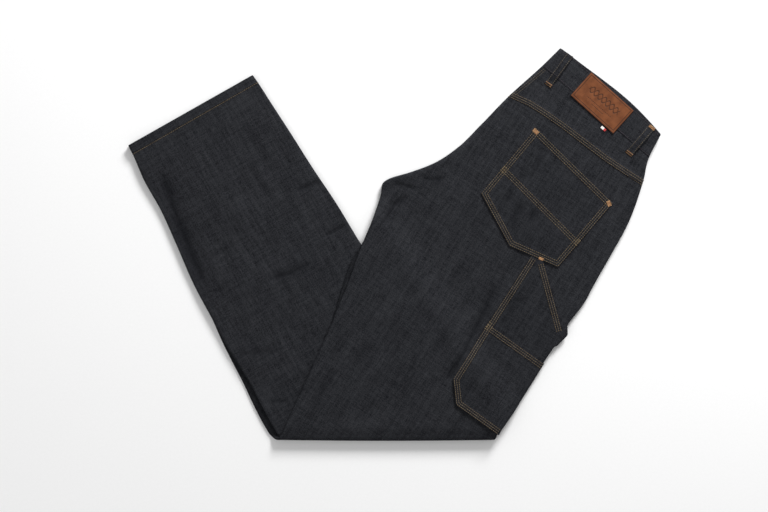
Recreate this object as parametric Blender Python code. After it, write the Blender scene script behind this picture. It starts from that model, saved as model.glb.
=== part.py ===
"""Work trousers of dark denim, folded in half and again at the knee, lying flat.

The trousers are first folded lengthwise, seat outward, so one leg tube lies on the other.
The shins are then turned under along a straight line at the knees. Everything is built in
"stack space": a station along the legs, a distance across them, and a height through the
stack of layers. The stack is laid out flat, wrapped round the knee fold and laid back.
Lengths in the tables are millimetres; the meshes are in metres.
"""
import math
from collections import namedtuple

import bmesh
import bpy
from mathutils import Vector
from mathutils.bvhtree import BVHTree

MM = 0.001

# Cloth and seams
CLOTH = 1.2            # thickness of one panel
SEAM_GAP = 0.32        # clearance between neighbouring pieces
LEDGE = 0.3            # step in the hidden layers under a panel's rolled edge
EDGE_BASE = 1.5        # width of a rolled side edge: base plus share of its drop
EDGE_SHARE = 0.9
SIDE_DROP = 0.25       # a leg's back panel rolls down a quarter of the stack at its seam
UNDER_DROP = 0.38      # the most the under panel rolls up at a seat edge
GROOVE = 4.0           # depth of the groove between the two leg tubes
GROOVE_FULL = 0.4      # share of the stack between the side seams where it has that depth

# Knee fold
FOLD_Y = -278.0        # line the knees are folded about
FOLD_RADIUS = 0.2      # inner radius left between the layers
FOLD_STEPS = 6
KNEE_STACK = 8.0       # thickness of both leg tubes at the knees

# How the thighs sink from the shins they lie on to the ground beside them
SUPPORT_NEAR = 22.0
SUPPORT_FAR = 70.0
SUPPORT_BLEND = 60.0
SHIN_EDGE = ((-207.0, 247.0), (144.0, -278.0))

# Waistband, hems and small pieces
BAND_CLOTH = 2.2
BAND_SLOT = 0.4
BAND_BACK_FOLD = 1.1   # how far the band bulges at the centre back, as a share of its half height
HEM_CLOTH = 2.0
LOOP_WIDTH = 12.4
LOOP_CLOTH = 1.8
LOOP_LIFT = 2.2
LOOP_TACK = 0.13       # share of a belt loop's length sewn down at each end
LOOP_SHARES = (0.0, LOOP_TACK, 0.27, 0.42, 0.58, 0.73, 1.0 - LOOP_TACK, 1.0)
LOOP_ARCH = 0.8        # how square the loop's arch is; 1 is a plain half wave
PATCH_LEATHER = 1.6
TURN_STEPS = 4
SHARP_ANGLE = 40.0
CUTTER_HEIGHTS = (-50.0, 80.0)

# Where the grid lines run across the stack: round each side edge, and over the flat between
ROLL_ANGLES = (0.0, 30.0, 60.0, 90.0)
COLUMNS = (0.065, 0.14, 0.23, 0.32, 0.42, 0.52, 0.62, 0.72, 0.81, 0.88, 0.94)
ROLL_COUNT = len(ROLL_ANGLES)

# One row per station: ends on the garment's left and right edge, stack thickness, share of
# the stack the upper panel rolls down at the left edge, how far the other leg's left edge
# lies inward, and how the line between the ends bows and sways towards the waist.
Row = namedtuple("Row", "name left right stack drop inset bow sway")
HIPS = [
    Row("waist", (242.5, 286.5), (389.2, 160), 10.0, 0.5, 0, 6.2, -1.4),
    Row("band_seam", (215.5, 260), (372, 126.5), 10.0, 0.5, 0, 0, 0),
    Row("yoke_seam", (170, 219), (363.4, 91.5), 10.0, 0.5, 0, 1.4, 3.5),
    Row("hip", (126, 174), (341.8, 30.8), 10.0, 0.5, 0, 0, 0),
    Row("seat", (91, 140), (315.6, -17.2), 10.0, 0.5, 0, 0, 0),
    Row("rise", (55, 117), (296.2, -51.2), 9.8, 0.5, 0, 0, 0),
    Row("fork_top", (23, 105), (287, -68.2), 9.5, 0.46, 0, 0, 0),
    Row("fork", (-9, 95), (278.6, -84), 9.2, 0.36, 0, 0, 0),
]
THIGHS = [
    Row("crotch", (-17, 89), (270.2, -95.8), 9.0, 0.25, 0, 0, 0),
    Row("thigh_top", (-20, 72), (256, -114), 8.8, 0.25, 0, 0, 0),
    Row("opening_end", (-26, 53), (247, -130), 8.6, 0.25, 0, 0, 0),
    Row("thigh_high", (-34, 31), (234, -147), 8.4, 0.25, 0, 0, 0),
    Row("thigh_upper", (-45, 5), (221, -166), 8.2, 0.25, 0, 0, 0),
    Row("thigh_peek", (-58, -29), (202, -196), 8.0, 0.25, -6, 0, 0),
    Row("thigh_mid", (-69, -60), (185, -223), 8.0, 0.25, -6, 0, 0),
    Row("thigh_low", (-94, -121), (173, -242), 8.0, 0.25, 0, 0, 0),
    Row("above_knee", (-122, -184), (160.2, -260.4), 8.0, 0.25, 0, 0, 0),
    Row("knee", (-147, -239), (151.8, -273), 8.0, 0.25, 0, 0, 0),
    Row("fold_top", (-164, FOLD_Y), (149.8, FOLD_Y), KNEE_STACK, 0.25, 0, 0, 0),
]
SHINS = [
    Row("fold_under", (-183, FOLD_Y), (144, FOLD_Y), KNEE_STACK, 0.25, 12, 0, 0),
    Row("below_knee", (-192, -263), (122, -245), 8.0, 0.25, 12, 0, 0),
    Row("calf_top", (-207, -234), (84, -191), 8.0, 0.25, 11, 0, 0),
    Row("calf_high", (-221, -204), (45, -134), 8.0, 0.25, 9, 0, 0),
    Row("calf", (-236, -175), (7, -80), 8.0, 0.25, 6, 0, 0),
    Row("calf_low", (-252, -143), (-27, -32), 8.0, 0.25, 3, 0, 0),
    Row("shin_top", (-269, -105), (-50, 2), 8.0, 0.25, 0, 0, 0),
    Row("shin_high", (-294, -58), (-84, 58), 7.7, 0.25, 0, 0, 0),
    Row("shin_mid", (-318, -3), (-120, 112), 7.5, 0.25, 0, 0, 0),
    Row("shin_low", (-342, 50), (-151, 161), 7.5, 0.25, 0, 0, 0),
    Row("ankle", (-366.5, 94), (-179.5, 205), 7.8, 0.25, 0, 0, 0),
    Row("hem_seam", (-383, 131.8), (-200, 236.8), 8.4, 0.25, 0, 0, 0),
    Row("hem", (-389.2, 144), (-207.2, 247), 9.3, 0.25, 0, 0, 0),
]

# Outlines of the pieces sewn on, as corners in plan
BACK_POCKET = [(206.3, 170), (319, 59.4), (238.6, -34.3), (167.3, -2.8), (125.8, 74.2)]
RULER_POCKET = [(199.4, -17.5), (217.4, -25.4), (244.6, -126.2), (251.7, -120.7), (255.1, -130.1),
                (237.7, -151.5), (245.3, -159.6), (160, -284.5), (148.8, -276.9), (89.2, -234),
                (85.2, -196.2), (134.8, -118.2)]
TOOL_POCKET = [(135.9, -116), (217.4, -174), (231.4, -184), (160, -284.5), (148.8, -276.9), (89.2, -234),
               (85.2, -196.2)]
PATCH = [(287, 250.5), (354.5, 196), (319, 161), (257, 217)]
LOOP_CENTRE = ((256.2, 276.0), (224, 232))
LOOP_SIDE = ((376.2, 172.0), (342, 132))
EAR_FLARE = {"opening_end": 9.0}

# Finishes: base colour, roughness
DENIM = ((0.0215, 0.0226, 0.0272), 0.9)
DENIM_DARK = ((0.0200, 0.0208, 0.0252), 0.9)
LEATHER = ((0.155, 0.060, 0.030), 0.62)


class Station:
    """One section across the stack; angle is how far it has turned round the knee fold."""

    def __init__(self, row, angle=0.0):
        self.name = row.name
        self.left, self.right = Vector(row.left), Vector(row.right)
        self.stack, self.drop, self.inset = row.stack, row.drop, row.inset
        self.bow, self.sway = row.bow, row.sway
        self.angle = angle

    @property
    def width(self):
        return (self.right - self.left).length

    def plan(self, across):
        """Plan point at a distance from the left edge."""
        line = (self.right - self.left).normalized()
        share = min(max(across / self.width, 0.0), 1.0)
        lift = self.bow * math.sin(math.pi * share) + self.sway * math.sin(2 * math.pi * share)
        return self.left + line * across + Vector((-line.y, line.x)) * lift

    def place(self, across, level):
        """Point in space for a distance across and a height through the stack."""
        spot = self.plan(across)
        if self.angle == 0.0:
            return Vector((spot.x, spot.y, support(spot) + level)) * MM
        if self.angle == 180.0:
            return Vector((spot.x, spot.y, self.stack - level)) * MM
        turn, reach = math.radians(self.angle), FOLD_RADIUS + level
        return Vector((spot.x, FOLD_Y - reach * math.sin(turn),
                       KNEE_STACK + FOLD_RADIUS + reach * math.cos(turn))) * MM


def ease(value):
    value = min(max(value, 0.0), 1.0)
    return value * value * (3.0 - 2.0 * value)


def support(spot):
    """Height the thighs and hips lie at: on the shins, then sinking to the ground."""
    start, end = Vector(SHIN_EDGE[0]), Vector(SHIN_EDGE[1])
    line = (end - start).normalized()
    beyond = (spot - start).dot(Vector((-line.y, line.x)))
    held = 1.0 - ease((beyond - SUPPORT_NEAR) / (SUPPORT_FAR - SUPPORT_NEAR))
    near_fold = 1.0 - ease((spot.y - FOLD_Y) / SUPPORT_BLEND)
    return (KNEE_STACK + 2 * FOLD_RADIUS) * (held + (1.0 - held) * near_fold)


def between(first, second, share):
    """A station part of the way from one to the next."""
    mix = lambda a, b: a + (b - a) * share
    row = Row(f"{first.name}_{share:.2f}", tuple(first.left.lerp(second.left, share)),
              tuple(first.right.lerp(second.right, share)), mix(first.stack, second.stack),
              mix(first.drop, second.drop), mix(first.inset, second.inset),
              mix(first.bow, second.bow), mix(first.sway, second.sway))
    return Station(row, first.angle)


def short_of(first, second, gap):
    """A station a small gap before the second one."""
    nearest = min((second.left - first.left).length, (second.right - first.right).length)
    return between(first, second, 1.0 - gap / nearest)


def past(first, second, gap):
    nearest = min((second.left - first.left).length, (second.right - first.right).length)
    return between(first, second, gap / nearest)


def roll(station, upper, right):
    """Width and drop of a rolled edge on the upper or under face of the stack."""
    share = SIDE_DROP
    if not right:
        share = station.drop if upper else min(station.drop, UNDER_DROP)
    drop = share * station.stack
    return EDGE_BASE + EDGE_SHARE * drop, drop


def skin(station, upper, moved, flare=0.0):
    """Points across one face of the stack, moved outward by some distance."""
    points = []
    for right in (False, True):
        edge, drop = roll(station, upper, right)
        side = []
        for angle in ROLL_ANGLES:
            turn = math.radians(angle)
            across = -moved + (edge + moved) * (1.0 - math.cos(turn))
            level = drop - (drop + moved) * math.sin(turn)
            if right:
                across = station.width - across + flare * math.cos(turn)
            elif not upper:
                across += station.inset
            side.append((across, station.stack - level if upper else level))
        if right:
            flat = station.stack + moved if upper else -moved
            points += [(share * station.width, flat) for share in COLUMNS]
            side.reverse()
        points += side
    return points


def side_layers(station, right, upper_cut, under_cut):
    """The two leg tubes' rounded edges, from the upper face's seam to the under face's."""
    _, upper_drop = roll(station, True, right)
    _, under_drop = roll(station, False, right)
    inset = 0.0 if right else station.inset
    top, bottom = station.stack - upper_drop - LEDGE, under_drop + LEDGE
    middle = (top + bottom) / 2
    depth = GROOVE * min(1.0, (top - bottom) / (GROOVE_FULL * station.stack))
    deep = max(inset, 0.0) + depth
    bend = math.radians(45.0)
    points = [(upper_cut, top + (0.0 if upper_cut else LEDGE / 2)), (0.0, top),
              (deep * (1 - math.cos(bend)), top - (top - middle) * math.sin(bend)), (deep, middle),
              (inset + (deep - inset) * (1 - math.cos(bend)), bottom + (middle - bottom) * math.sin(bend)),
              (inset, bottom), (inset + under_cut, bottom - (0.0 if under_cut else LEDGE / 2))]
    if right:
        return [(station.width - across, level) for across, level in points]
    return points


def mesh_object(name, points, faces, finish, smooth=True):
    mesh = bpy.data.meshes.new(name)
    mesh.from_pydata([tuple(point) for point in points], [], faces)
    body = bmesh.new()
    body.from_mesh(mesh)
    bmesh.ops.recalc_face_normals(body, faces=body.faces)
    body.to_mesh(mesh)
    body.free()
    mesh.shade_smooth() if smooth else mesh.shade_flat()
    mesh.set_sharp_from_angle(angle=math.radians(SHARP_ANGLE))
    item = bpy.data.objects.new(name, mesh)
    bpy.context.collection.objects.link(item)
    colour, roughness = finish
    material = bpy.data.materials.new(name)
    material.use_nodes = True
    shader = material.node_tree.nodes["Principled BSDF"]
    shader.inputs["Base Color"].default_value = (*colour, 1.0)
    shader.inputs["Roughness"].default_value = roughness
    shader.inputs["Metallic"].default_value = 0.0
    mesh.materials.append(material)
    return item


def split(a, b, c, d):
    """Two triangles for a quad, always along the same diagonal."""
    return [(a, b, c), (a, c, d)]


def grid_faces(rows, columns, first=0, loop=False):
    faces = []
    for row in range(rows - 1):
        for column in range(columns if loop else columns - 1):
            a = first + row * columns + column
            b = first + row * columns + (column + 1) % columns
            faces += split(a, b, b + columns, a + columns)
    return faces


def sheet_between(name, outer, inner, finish):
    """A closed sheet between two grids of points of the same size."""
    rows, columns = len(outer), len(outer[0])
    points = [point for grid in (outer, inner) for line in grid for point in line]
    size = rows * columns
    faces = grid_faces(rows, columns)
    faces += [tuple(size + corner for corner in reversed(face)) for face in grid_faces(rows, columns)]
    rim = [column for column in range(columns)]
    rim += [row * columns + columns - 1 for row in range(1, rows)]
    rim += [(rows - 1) * columns + column for column in range(columns - 2, -1, -1)]
    rim += [row * columns for row in range(rows - 2, 0, -1)]
    for start, end in zip(rim, rim[1:] + rim[:1]):
        faces += split(start, start + size, end + size, end)
    return mesh_object(name, points, faces, finish)


def face_grid(stations, upper, moved, flares=None, columns=None):
    grid = []
    for station in stations:
        flare = (flares or {}).get(station.name, 0.0)
        line = [station.place(*point) for point in skin(station, upper, moved, flare)]
        grid.append(line[columns] if columns else line)
    return grid


def panel(name, stations, upper, finish, level=0.0, thickness=CLOTH, flares=None, columns=None):
    """A cloth panel lying on a face of the stack, its outer side moved out by level."""
    outer = face_grid(stations, upper, level, flares, columns)
    inner = face_grid(stations, upper, level - thickness, flares, columns)
    return sheet_between(name, outer, inner, finish)


def cut_to(item, outline):
    """Trim a piece to its outline with a tall cutter."""
    bottom, top = ([Vector((x, y, z)) * MM for x, y in outline] for z in CUTTER_HEIGHTS)
    count = len(outline)
    faces = [tuple(range(count)), tuple(range(count, 2 * count))]
    faces += [(k, (k + 1) % count, count + (k + 1) % count, count + k) for k in range(count)]
    mesh = bpy.data.meshes.new(f"{item.name}_outline")
    mesh.from_pydata([tuple(point) for point in bottom + top], [], faces)
    body = bmesh.new()
    body.from_mesh(mesh)
    bmesh.ops.recalc_face_normals(body, faces=body.faces)
    body.to_mesh(mesh)
    body.free()
    cutter = bpy.data.objects.new(f"{item.name}_outline", mesh)
    bpy.context.collection.objects.link(cutter)
    cutter.hide_render = True
    cutter.display_type = "WIRE"
    trim = item.modifiers.new("outline", "BOOLEAN")
    trim.operation = "INTERSECT"
    trim.solver = "EXACT"
    trim.object = cutter


def layers_body(name, stations, finish):
    """The hidden layers as one rounded solid, stepped back under the panels that show."""
    loops = []
    for station, upper_cut, under_cut in stations:
        upper = skin(station, True, -upper_cut)
        under = skin(station, False, -under_cut)
        loop = upper + side_layers(station, True, upper_cut, under_cut)
        loop += list(reversed(under))
        loop += list(reversed(side_layers(station, False, upper_cut, under_cut)))
        loops.append([station.place(*point) for point in loop])
    rows, columns = len(loops), len(loops[0])
    points = [point for loop in loops for point in loop]
    faces = grid_faces(rows, columns, loop=True)
    faces += end_caps(rows, columns)
    return mesh_object(name, points, faces, finish)


def end_caps(rows, columns):
    """Close both ends of a loop body with strips between its upper and under points."""
    faces = []
    for first in (0, (rows - 1) * columns):
        low, high = 0, columns - 1
        while high - low > 1:
            faces.append((first + low, first + low + 1, first + high))
            low += 1
            if high - low > 1:
                faces.append((first + low, first + high - 1, first + high))
                high -= 1
    return faces


def folded_path(columns, width, levels, turns):
    """A closed line through flat layers joined by half-turn folds."""
    path = []
    for (level, rightward), (centre, half, side) in zip(levels, turns):
        line = [(share * width, level) for share in columns]
        path += line if rightward else list(reversed(line))
        start = 90.0 if level > centre[1] else -90.0
        for step in range(TURN_STEPS + 1):
            turn = math.radians(start * (1.0 - 2.0 * step / TURN_STEPS))
            path.append((centre[0] + side * half[0] * math.cos(turn), centre[1] + half[1] * math.sin(turn)))
    return path


def thickened(path, thickness):
    """The path moved to both sides by half a thickness, corner by corner."""
    sides = ([], [])
    count = len(path)
    for index, point in enumerate(path):
        before = Vector(path[index - 1])
        here = Vector(point)
        after = Vector(path[(index + 1) % count])
        into, out = (here - before).normalized(), (after - here).normalized()
        normal = Vector((-(into.y + out.y), into.x + out.x)).normalized()
        reach = thickness / 2 / max(normal.dot(Vector((-out.y, out.x))), 0.5)
        sides[0].append(tuple(here + normal * reach))
        sides[1].append(tuple(here - normal * reach))
    return sides


def ring_body(name, stations, paths, thickness, finish):
    """A folded closed band of cloth: its path at each station, given thickness."""
    points = []
    for side in (0, 1):
        for station, path in zip(stations, paths):
            points += [station.place(*point) for point in thickened(path, thickness)[side]]
    rows, columns = len(stations), len(paths[0])
    size = rows * columns
    faces = grid_faces(rows, columns, loop=True)
    faces += [tuple(reversed(face)) for face in grid_faces(rows, columns, first=size, loop=True)]
    for first in (0, (rows - 1) * columns):
        for column in range(columns):
            a, b = first + column, first + (column + 1) % columns
            faces += split(a, b, b + size, a + size)
    return mesh_object(name, points, faces, finish)


def waistband_path(station):
    """The band runs over the top layer, round the side, back, round the front and home."""
    pitch = BAND_CLOTH + BAND_SLOT
    level = [station.stack - BAND_CLOTH / 2 - pitch * layer for layer in range(4)]
    small, half = pitch / 2, BAND_CLOTH / 2
    right = station.width - small - half
    big = (level[0] - level[3]) / 2
    left = big * BAND_BACK_FOLD + half
    inner = left + small
    levels = [(level[0], True), (level[1], False), (level[2], True), (level[3], False)]
    turns = [((right, (level[0] + level[1]) / 2), (small, small), 1),
             ((inner, (level[1] + level[2]) / 2), (small, small), -1),
             ((right, (level[2] + level[3]) / 2), (small, small), 1),
             ((left, (level[0] + level[3]) / 2), (big * BAND_BACK_FOLD, big), -1)]
    return folded_path(COLUMNS, station.width, levels, turns)


def hem_path(station, upper_tube):
    """A leg's hem is a tube pressed flat."""
    tube = station.stack / 2 - SEAM_GAP / 2
    low = 0.0 if upper_tube else station.stack - tube
    levels = [(low + tube - HEM_CLOTH / 2, True), (low + HEM_CLOTH / 2, False)]
    half = (levels[0][0] - levels[1][0]) / 2
    middle = low + tube / 2
    reach = half + HEM_CLOTH / 2
    turns = [((station.width - reach, middle), (half, half), 1), ((reach, middle), (half, half), -1)]
    return folded_path(COLUMNS, station.width, levels, turns)


def belt_loop(name, ends, top, stacked, finish):
    """A strap tacked down at both ends and standing off the band between them."""
    start, end = Vector(ends[0]), Vector(ends[1])
    along = (end - start).normalized()
    side = Vector((-along.y, along.x)) * LOOP_WIDTH / 2
    outer, inner = [], []
    for share in LOOP_SHARES:
        free = (share - LOOP_TACK) / (1.0 - 2 * LOOP_TACK)
        lift = LOOP_LIFT * math.sin(math.pi * min(max(free, 0.0), 1.0)) ** LOOP_ARCH
        spot = start.lerp(end, share)
        ground = max(height_on(top, spot + side * way, stacked) for way in (-1, 0, 1))
        row = [spot - side, spot + side]
        outer.append([Vector((p.x, p.y, ground + SEAM_GAP + lift + LOOP_CLOTH)) * MM for p in row])
        inner.append([Vector((p.x, p.y, ground + SEAM_GAP + lift)) * MM for p in row])
    return sheet_between(name, outer, inner, finish)


def height_on(top, spot, otherwise):
    hit = top.ray_cast(Vector((spot.x, spot.y, 100.0)) * MM, Vector((0.0, 0.0, -1.0)))[0]
    return hit.z / MM if hit else otherwise


def surface_tree(grid):
    points = [point for line in grid for point in line]
    return BVHTree.FromPolygons(points, grid_faces(len(grid), len(grid[0])))


for item in list(bpy.data.objects):
    bpy.data.objects.remove(item, do_unlink=True)

hips = [Station(row) for row in HIPS]
thighs = [Station(row) for row in THIGHS]
shins = [Station(row, 180.0) for row in SHINS]

fold = []
for step in range(1, FOLD_STEPS):
    turned = between(thighs[-1], shins[0], step / FOLD_STEPS)
    turned.angle = 180.0 * step / FOLD_STEPS
    fold.append(turned)

# The body's cloth starts below the waistband and ends above the hems
band_top = past(hips[1], hips[2], SEAM_GAP)
hem_start = short_of(shins[-3], shins[-2], SEAM_GAP)
under_start = past(shins[0], shins[1], 3 * SEAM_GAP)
step_before = past(shins[0], shins[1], 1.0 * SEAM_GAP)
step_after = past(shins[0], shins[1], 1.2 * SEAM_GAP)

recess = CLOTH + SEAM_GAP
layers = [(station, recess, 0.0) for station in [band_top] + hips[2:] + thighs + fold]
layers += [(shins[0], recess, 0.0), (step_before, recess, 0.0), (step_after, 0.0, recess)]
layers += [(station, 0.0, recess) for station in [under_start] + shins[1:-2] + [hem_start]]
layers_body("hidden_layers", layers, DENIM)

# Panels that show
yoke_end = short_of(band_top, hips[2], SEAM_GAP)
panel("yoke_right", [band_top, between(band_top, yoke_end, 0.5), yoke_end], True, DENIM)
panel("back_right", hips[2:] + thighs + fold + [shins[0]], True, DENIM)
panel("back_left", [under_start] + shins[1:-2] + [hem_start], False, DENIM)

# Waistband and hems
band = [hips[0], between(hips[0], hips[1], 0.5), hips[1]]
ring_body("waistband", band, [waistband_path(station) for station in band], BAND_CLOTH, DENIM)
hem = [Station(SHINS[-2]._replace(stack=SHINS[-1].stack), 180.0), shins[-1]]
ring_body("hem_left", hem, [hem_path(station, True) for station in hem], HEM_CLOTH, DENIM)
ring_body("hem_right", hem, [hem_path(station, False) for station in hem], HEM_CLOTH, DENIM)

# Pieces sewn on the back of the right leg, each lifted over what it lies on
first = SEAM_GAP + CLOTH
second = 2 * first
flat_part = slice(ROLL_COUNT, -ROLL_COUNT)
pocket = panel("back_pocket", hips[2:] + thighs[:1], True, DENIM_DARK, first, columns=flat_part)
cut_to(pocket, BACK_POCKET)
outer_half = slice(ROLL_COUNT + 3, None)
ruler = panel("ruler_pocket", hips[5:] + thighs, True, DENIM_DARK, first, flares=EAR_FLARE,
              columns=outer_half)
cut_to(ruler, RULER_POCKET)
tool = panel("tool_pocket", thighs[2:], True, DENIM_DARK, second, columns=outer_half)
cut_to(tool, TOOL_POCKET)

rise = hips[:3]
patch = panel("patch", rise, True, LEATHER, SEAM_GAP + PATCH_LEATHER, PATCH_LEATHER, columns=flat_part)
cut_to(patch, PATCH)

top = surface_tree(face_grid(rise, True, 0.0))
for name, ends in (("belt_loop_centre", LOOP_CENTRE), ("belt_loop_side", LOOP_SIDE)):
    belt_loop(name, ends, top, hips[0].stack, DENIM_DARK)
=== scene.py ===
# %% [markdown]
# # Folded denim work trousers, seen from straight above
#
# The trousers are folded in half along the fly and the seat seam, so that the right leg lies on
# the left one, and the shins are turned under at the knees. The cloth is stiff raw denim: it
# keeps flat faces, rounds at its edges and shows only shallow, long creases. Everything that can
# be seen is rebuilt here as thin shells on the CAD solids' form, with stitching laid on top.

import math
from collections import namedtuple

import bmesh
import bpy
import numpy as np
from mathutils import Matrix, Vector, noise
from mathutils.bvhtree import BVHTree


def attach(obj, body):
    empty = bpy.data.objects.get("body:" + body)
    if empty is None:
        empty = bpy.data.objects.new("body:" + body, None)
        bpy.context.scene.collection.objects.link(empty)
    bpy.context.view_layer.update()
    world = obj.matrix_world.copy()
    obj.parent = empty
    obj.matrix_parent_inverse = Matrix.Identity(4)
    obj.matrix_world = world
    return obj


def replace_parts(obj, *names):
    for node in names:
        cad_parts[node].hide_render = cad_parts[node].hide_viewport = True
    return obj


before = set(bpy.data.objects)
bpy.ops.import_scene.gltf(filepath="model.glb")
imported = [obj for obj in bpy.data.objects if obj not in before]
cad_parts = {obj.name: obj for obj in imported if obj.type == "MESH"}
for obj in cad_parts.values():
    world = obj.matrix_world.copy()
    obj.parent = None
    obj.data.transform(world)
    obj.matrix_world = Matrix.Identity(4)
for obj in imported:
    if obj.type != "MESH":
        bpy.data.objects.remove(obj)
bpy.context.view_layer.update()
MM = 0.001


def add(name, data):
    item = bpy.data.objects.new(name, data)
    bpy.context.scene.collection.objects.link(item)
    return item


def evaluated_mesh(item):
    """The mesh with its modifier applied; the modifier is then removed."""
    bpy.context.view_layer.update()
    made = bpy.data.meshes.new_from_object(item.evaluated_get(bpy.context.evaluated_depsgraph_get()))
    item.modifiers.clear()
    item.data = made
    return made

# %% [markdown]
# ## The stack of layers
#
# Both legs together are a flat stack of cloth. A row says where the stack's left and right edges
# are in plan, how thick it is there, how far the top panel rolls down at the left edge and how
# far the other leg's edge lies inward. The rows follow the real garment: waistband, seat yoke,
# crotch, thigh, knee, and then back along the shins to the hems. Reading smooth curves through
# these few rows gives a grid as fine as each piece needs.

# %% The rows, in millimetres
Row = namedtuple("Row", "name left right stack drop inset bow sway", defaults=(0.25, 0, 0, 0))
FOLD_Y, FOLD_RADIUS, KNEE_STACK = -278.0, 0.2, 8.0
HIPS_AND_THIGHS = [
    Row("waist", (242.5, 286.5), (389.2, 160), 10.0, 0.5, 0, 6.2, -1.4),
    Row("band_seam", (215.5, 260), (372, 126.5), 10.0, 0.5),
    Row("yoke_seam", (170, 219), (363.4, 91.5), 10.0, 0.5, 0, 1.4, 3.5),
    Row("hip", (126, 174), (341.8, 30.8), 10.0, 0.5),
    Row("seat", (91, 140), (315.6, -17.2), 10.0, 0.5),
    Row("rise", (55, 117), (296.2, -51.2), 9.8, 0.5),
    Row("fork_top", (23, 105), (287, -68.2), 9.5, 0.46),
    Row("fork", (-9, 95), (278.6, -84), 9.2, 0.36),
    Row("crotch", (-17, 89), (270.2, -95.8), 9.0),
    Row("thigh_top", (-20, 72), (256, -114), 8.8),
    Row("opening_end", (-26, 53), (247, -130), 8.6),
    Row("thigh_high", (-34, 31), (234, -147), 8.4),
    Row("thigh_upper", (-45, 5), (221, -166), 8.2),
    Row("thigh_peek", (-58, -29), (202, -196), 8.0, 0.25, -6),
    Row("thigh_mid", (-69, -60), (185, -223), 8.0, 0.25, -6),
    Row("thigh_low", (-94, -121), (173, -242), 8.0),
    Row("above_knee", (-122, -184), (160.2, -260.4), 8.0),
    Row("knee", (-147, -239), (151.8, -273), 8.0),
    Row("fold_top", (-164, FOLD_Y), (149.8, FOLD_Y), KNEE_STACK),
]
SHINS = [
    Row("fold_under", (-183, FOLD_Y), (144, FOLD_Y), KNEE_STACK, 0.25, 12),
    Row("below_knee", (-192, -263), (122, -245), 8.0, 0.25, 12),
    Row("calf_top", (-207, -234), (84, -191), 8.0, 0.25, 11),
    Row("calf_high", (-221, -204), (45, -134), 8.0, 0.25, 9),
    Row("calf", (-236, -175), (7, -80), 8.0, 0.25, 6),
    Row("calf_low", (-252, -143), (-27, -32), 8.0, 0.25, 3),
    Row("shin_top", (-269, -105), (-50, 2), 8.0),
    Row("shin_high", (-294, -58), (-84, 58), 7.7),
    Row("shin_mid", (-318, -3), (-120, 112), 7.5),
    Row("shin_low", (-342, 50), (-151, 161), 7.5),
    Row("ankle", (-366.5, 94), (-179.5, 205), 7.8),
    Row("hem_seam", (-383, 131.8), (-200, 236.8), 8.4),
    Row("hem", (-389.2, 144), (-207.2, 247), 9.3),
]
print(len(HIPS_AND_THIGHS), "rows above the knee,", len(SHINS), "below it")

# %% [markdown]
# A smooth curve through unevenly spaced rows keeps the outline round where the cloth is round.
# The slope at a row is taken from its two neighbours.

# %% Smooth rows
def as_numbers(rows):
    return np.array([[*r.left, *r.right, r.stack, r.drop, r.inset, r.bow, r.sway] for r in rows], float)


def knots(table):
    middle = (table[:, 0:2] + table[:, 2:4]) / 2
    steps = np.maximum(np.linalg.norm(np.diff(middle, axis=0), axis=1), 1.0)
    return np.concatenate([[0.0], np.cumsum(steps)])


def read_rows(table, at, where):
    slope = np.gradient(table, at, axis=0)
    index = np.clip(np.searchsorted(at, where, side="right") - 1, 0, len(at) - 2)
    span = (at[index + 1] - at[index])[:, None]
    t = ((where - at[index])[:, None]) / span
    a, b, ma, mb = table[index], table[index + 1], slope[index] * span, slope[index + 1] * span
    return ((2 * t**3 - 3 * t**2 + 1) * a + (t**3 - 2 * t**2 + t) * ma
            + (-2 * t**3 + 3 * t**2) * b + (t**3 - t**2) * mb)


class Run:
    """A dense run of rows; angle is the turn round the knee fold in degrees."""

    def __init__(self, values, angle):
        self.values, self.angle = values, angle
        self.left, self.right = values[:, 0:2], values[:, 2:4]
        self.stack, self.drop, self.inset, self.bow, self.sway = (values[:, k:k + 1] for k in range(4, 9))
        self.width = np.linalg.norm(self.right - self.left, axis=1)[:, None]

    def __add__(self, other):
        return Run(np.vstack([self.values, other.values]), np.concatenate([self.angle, other.angle]))


UPPER, LOWER = as_numbers(HIPS_AND_THIGHS), as_numbers(SHINS)
UPPER_AT, LOWER_AT = knots(UPPER), knots(LOWER)
AT = dict(zip([row.name for row in HIPS_AND_THIGHS + SHINS], [*UPPER_AT, *LOWER_AT]))


def run_between(start, end, step, under=False):
    """Rows from one distance along the stack to another, about a step apart."""
    table, at = (LOWER, LOWER_AT) if under else (UPPER, UPPER_AT)
    count = max(int(abs(end - start) / step), 1) + 1
    where = np.linspace(start, end, count)
    return Run(read_rows(table, at, where), np.full(count, 180.0 if under else 0.0))


def fold_run(steps):
    share = (np.arange(1, steps) / steps)[:, None]
    values = UPPER[-1] + (LOWER[0] - UPPER[-1]) * share
    return Run(values, 180.0 * share[:, 0])


print("length along the thighs %.0f mm, along the shins %.0f mm" % (UPPER_AT[-1], LOWER_AT[-1]))

# %% [markdown]
# ## Creases
#
# Raw denim folds into a few long, shallow troughs and ridges rather than many small ones. They
# run where the photograph shows them: fans from the crotch, a fold beside the tool pocket, long
# dents beside the shin's edges, and slack in the pocket's lower half. Each is a soft ridge or
# trough along a short line of its own, with its own width and height, so none repeats another.

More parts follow.
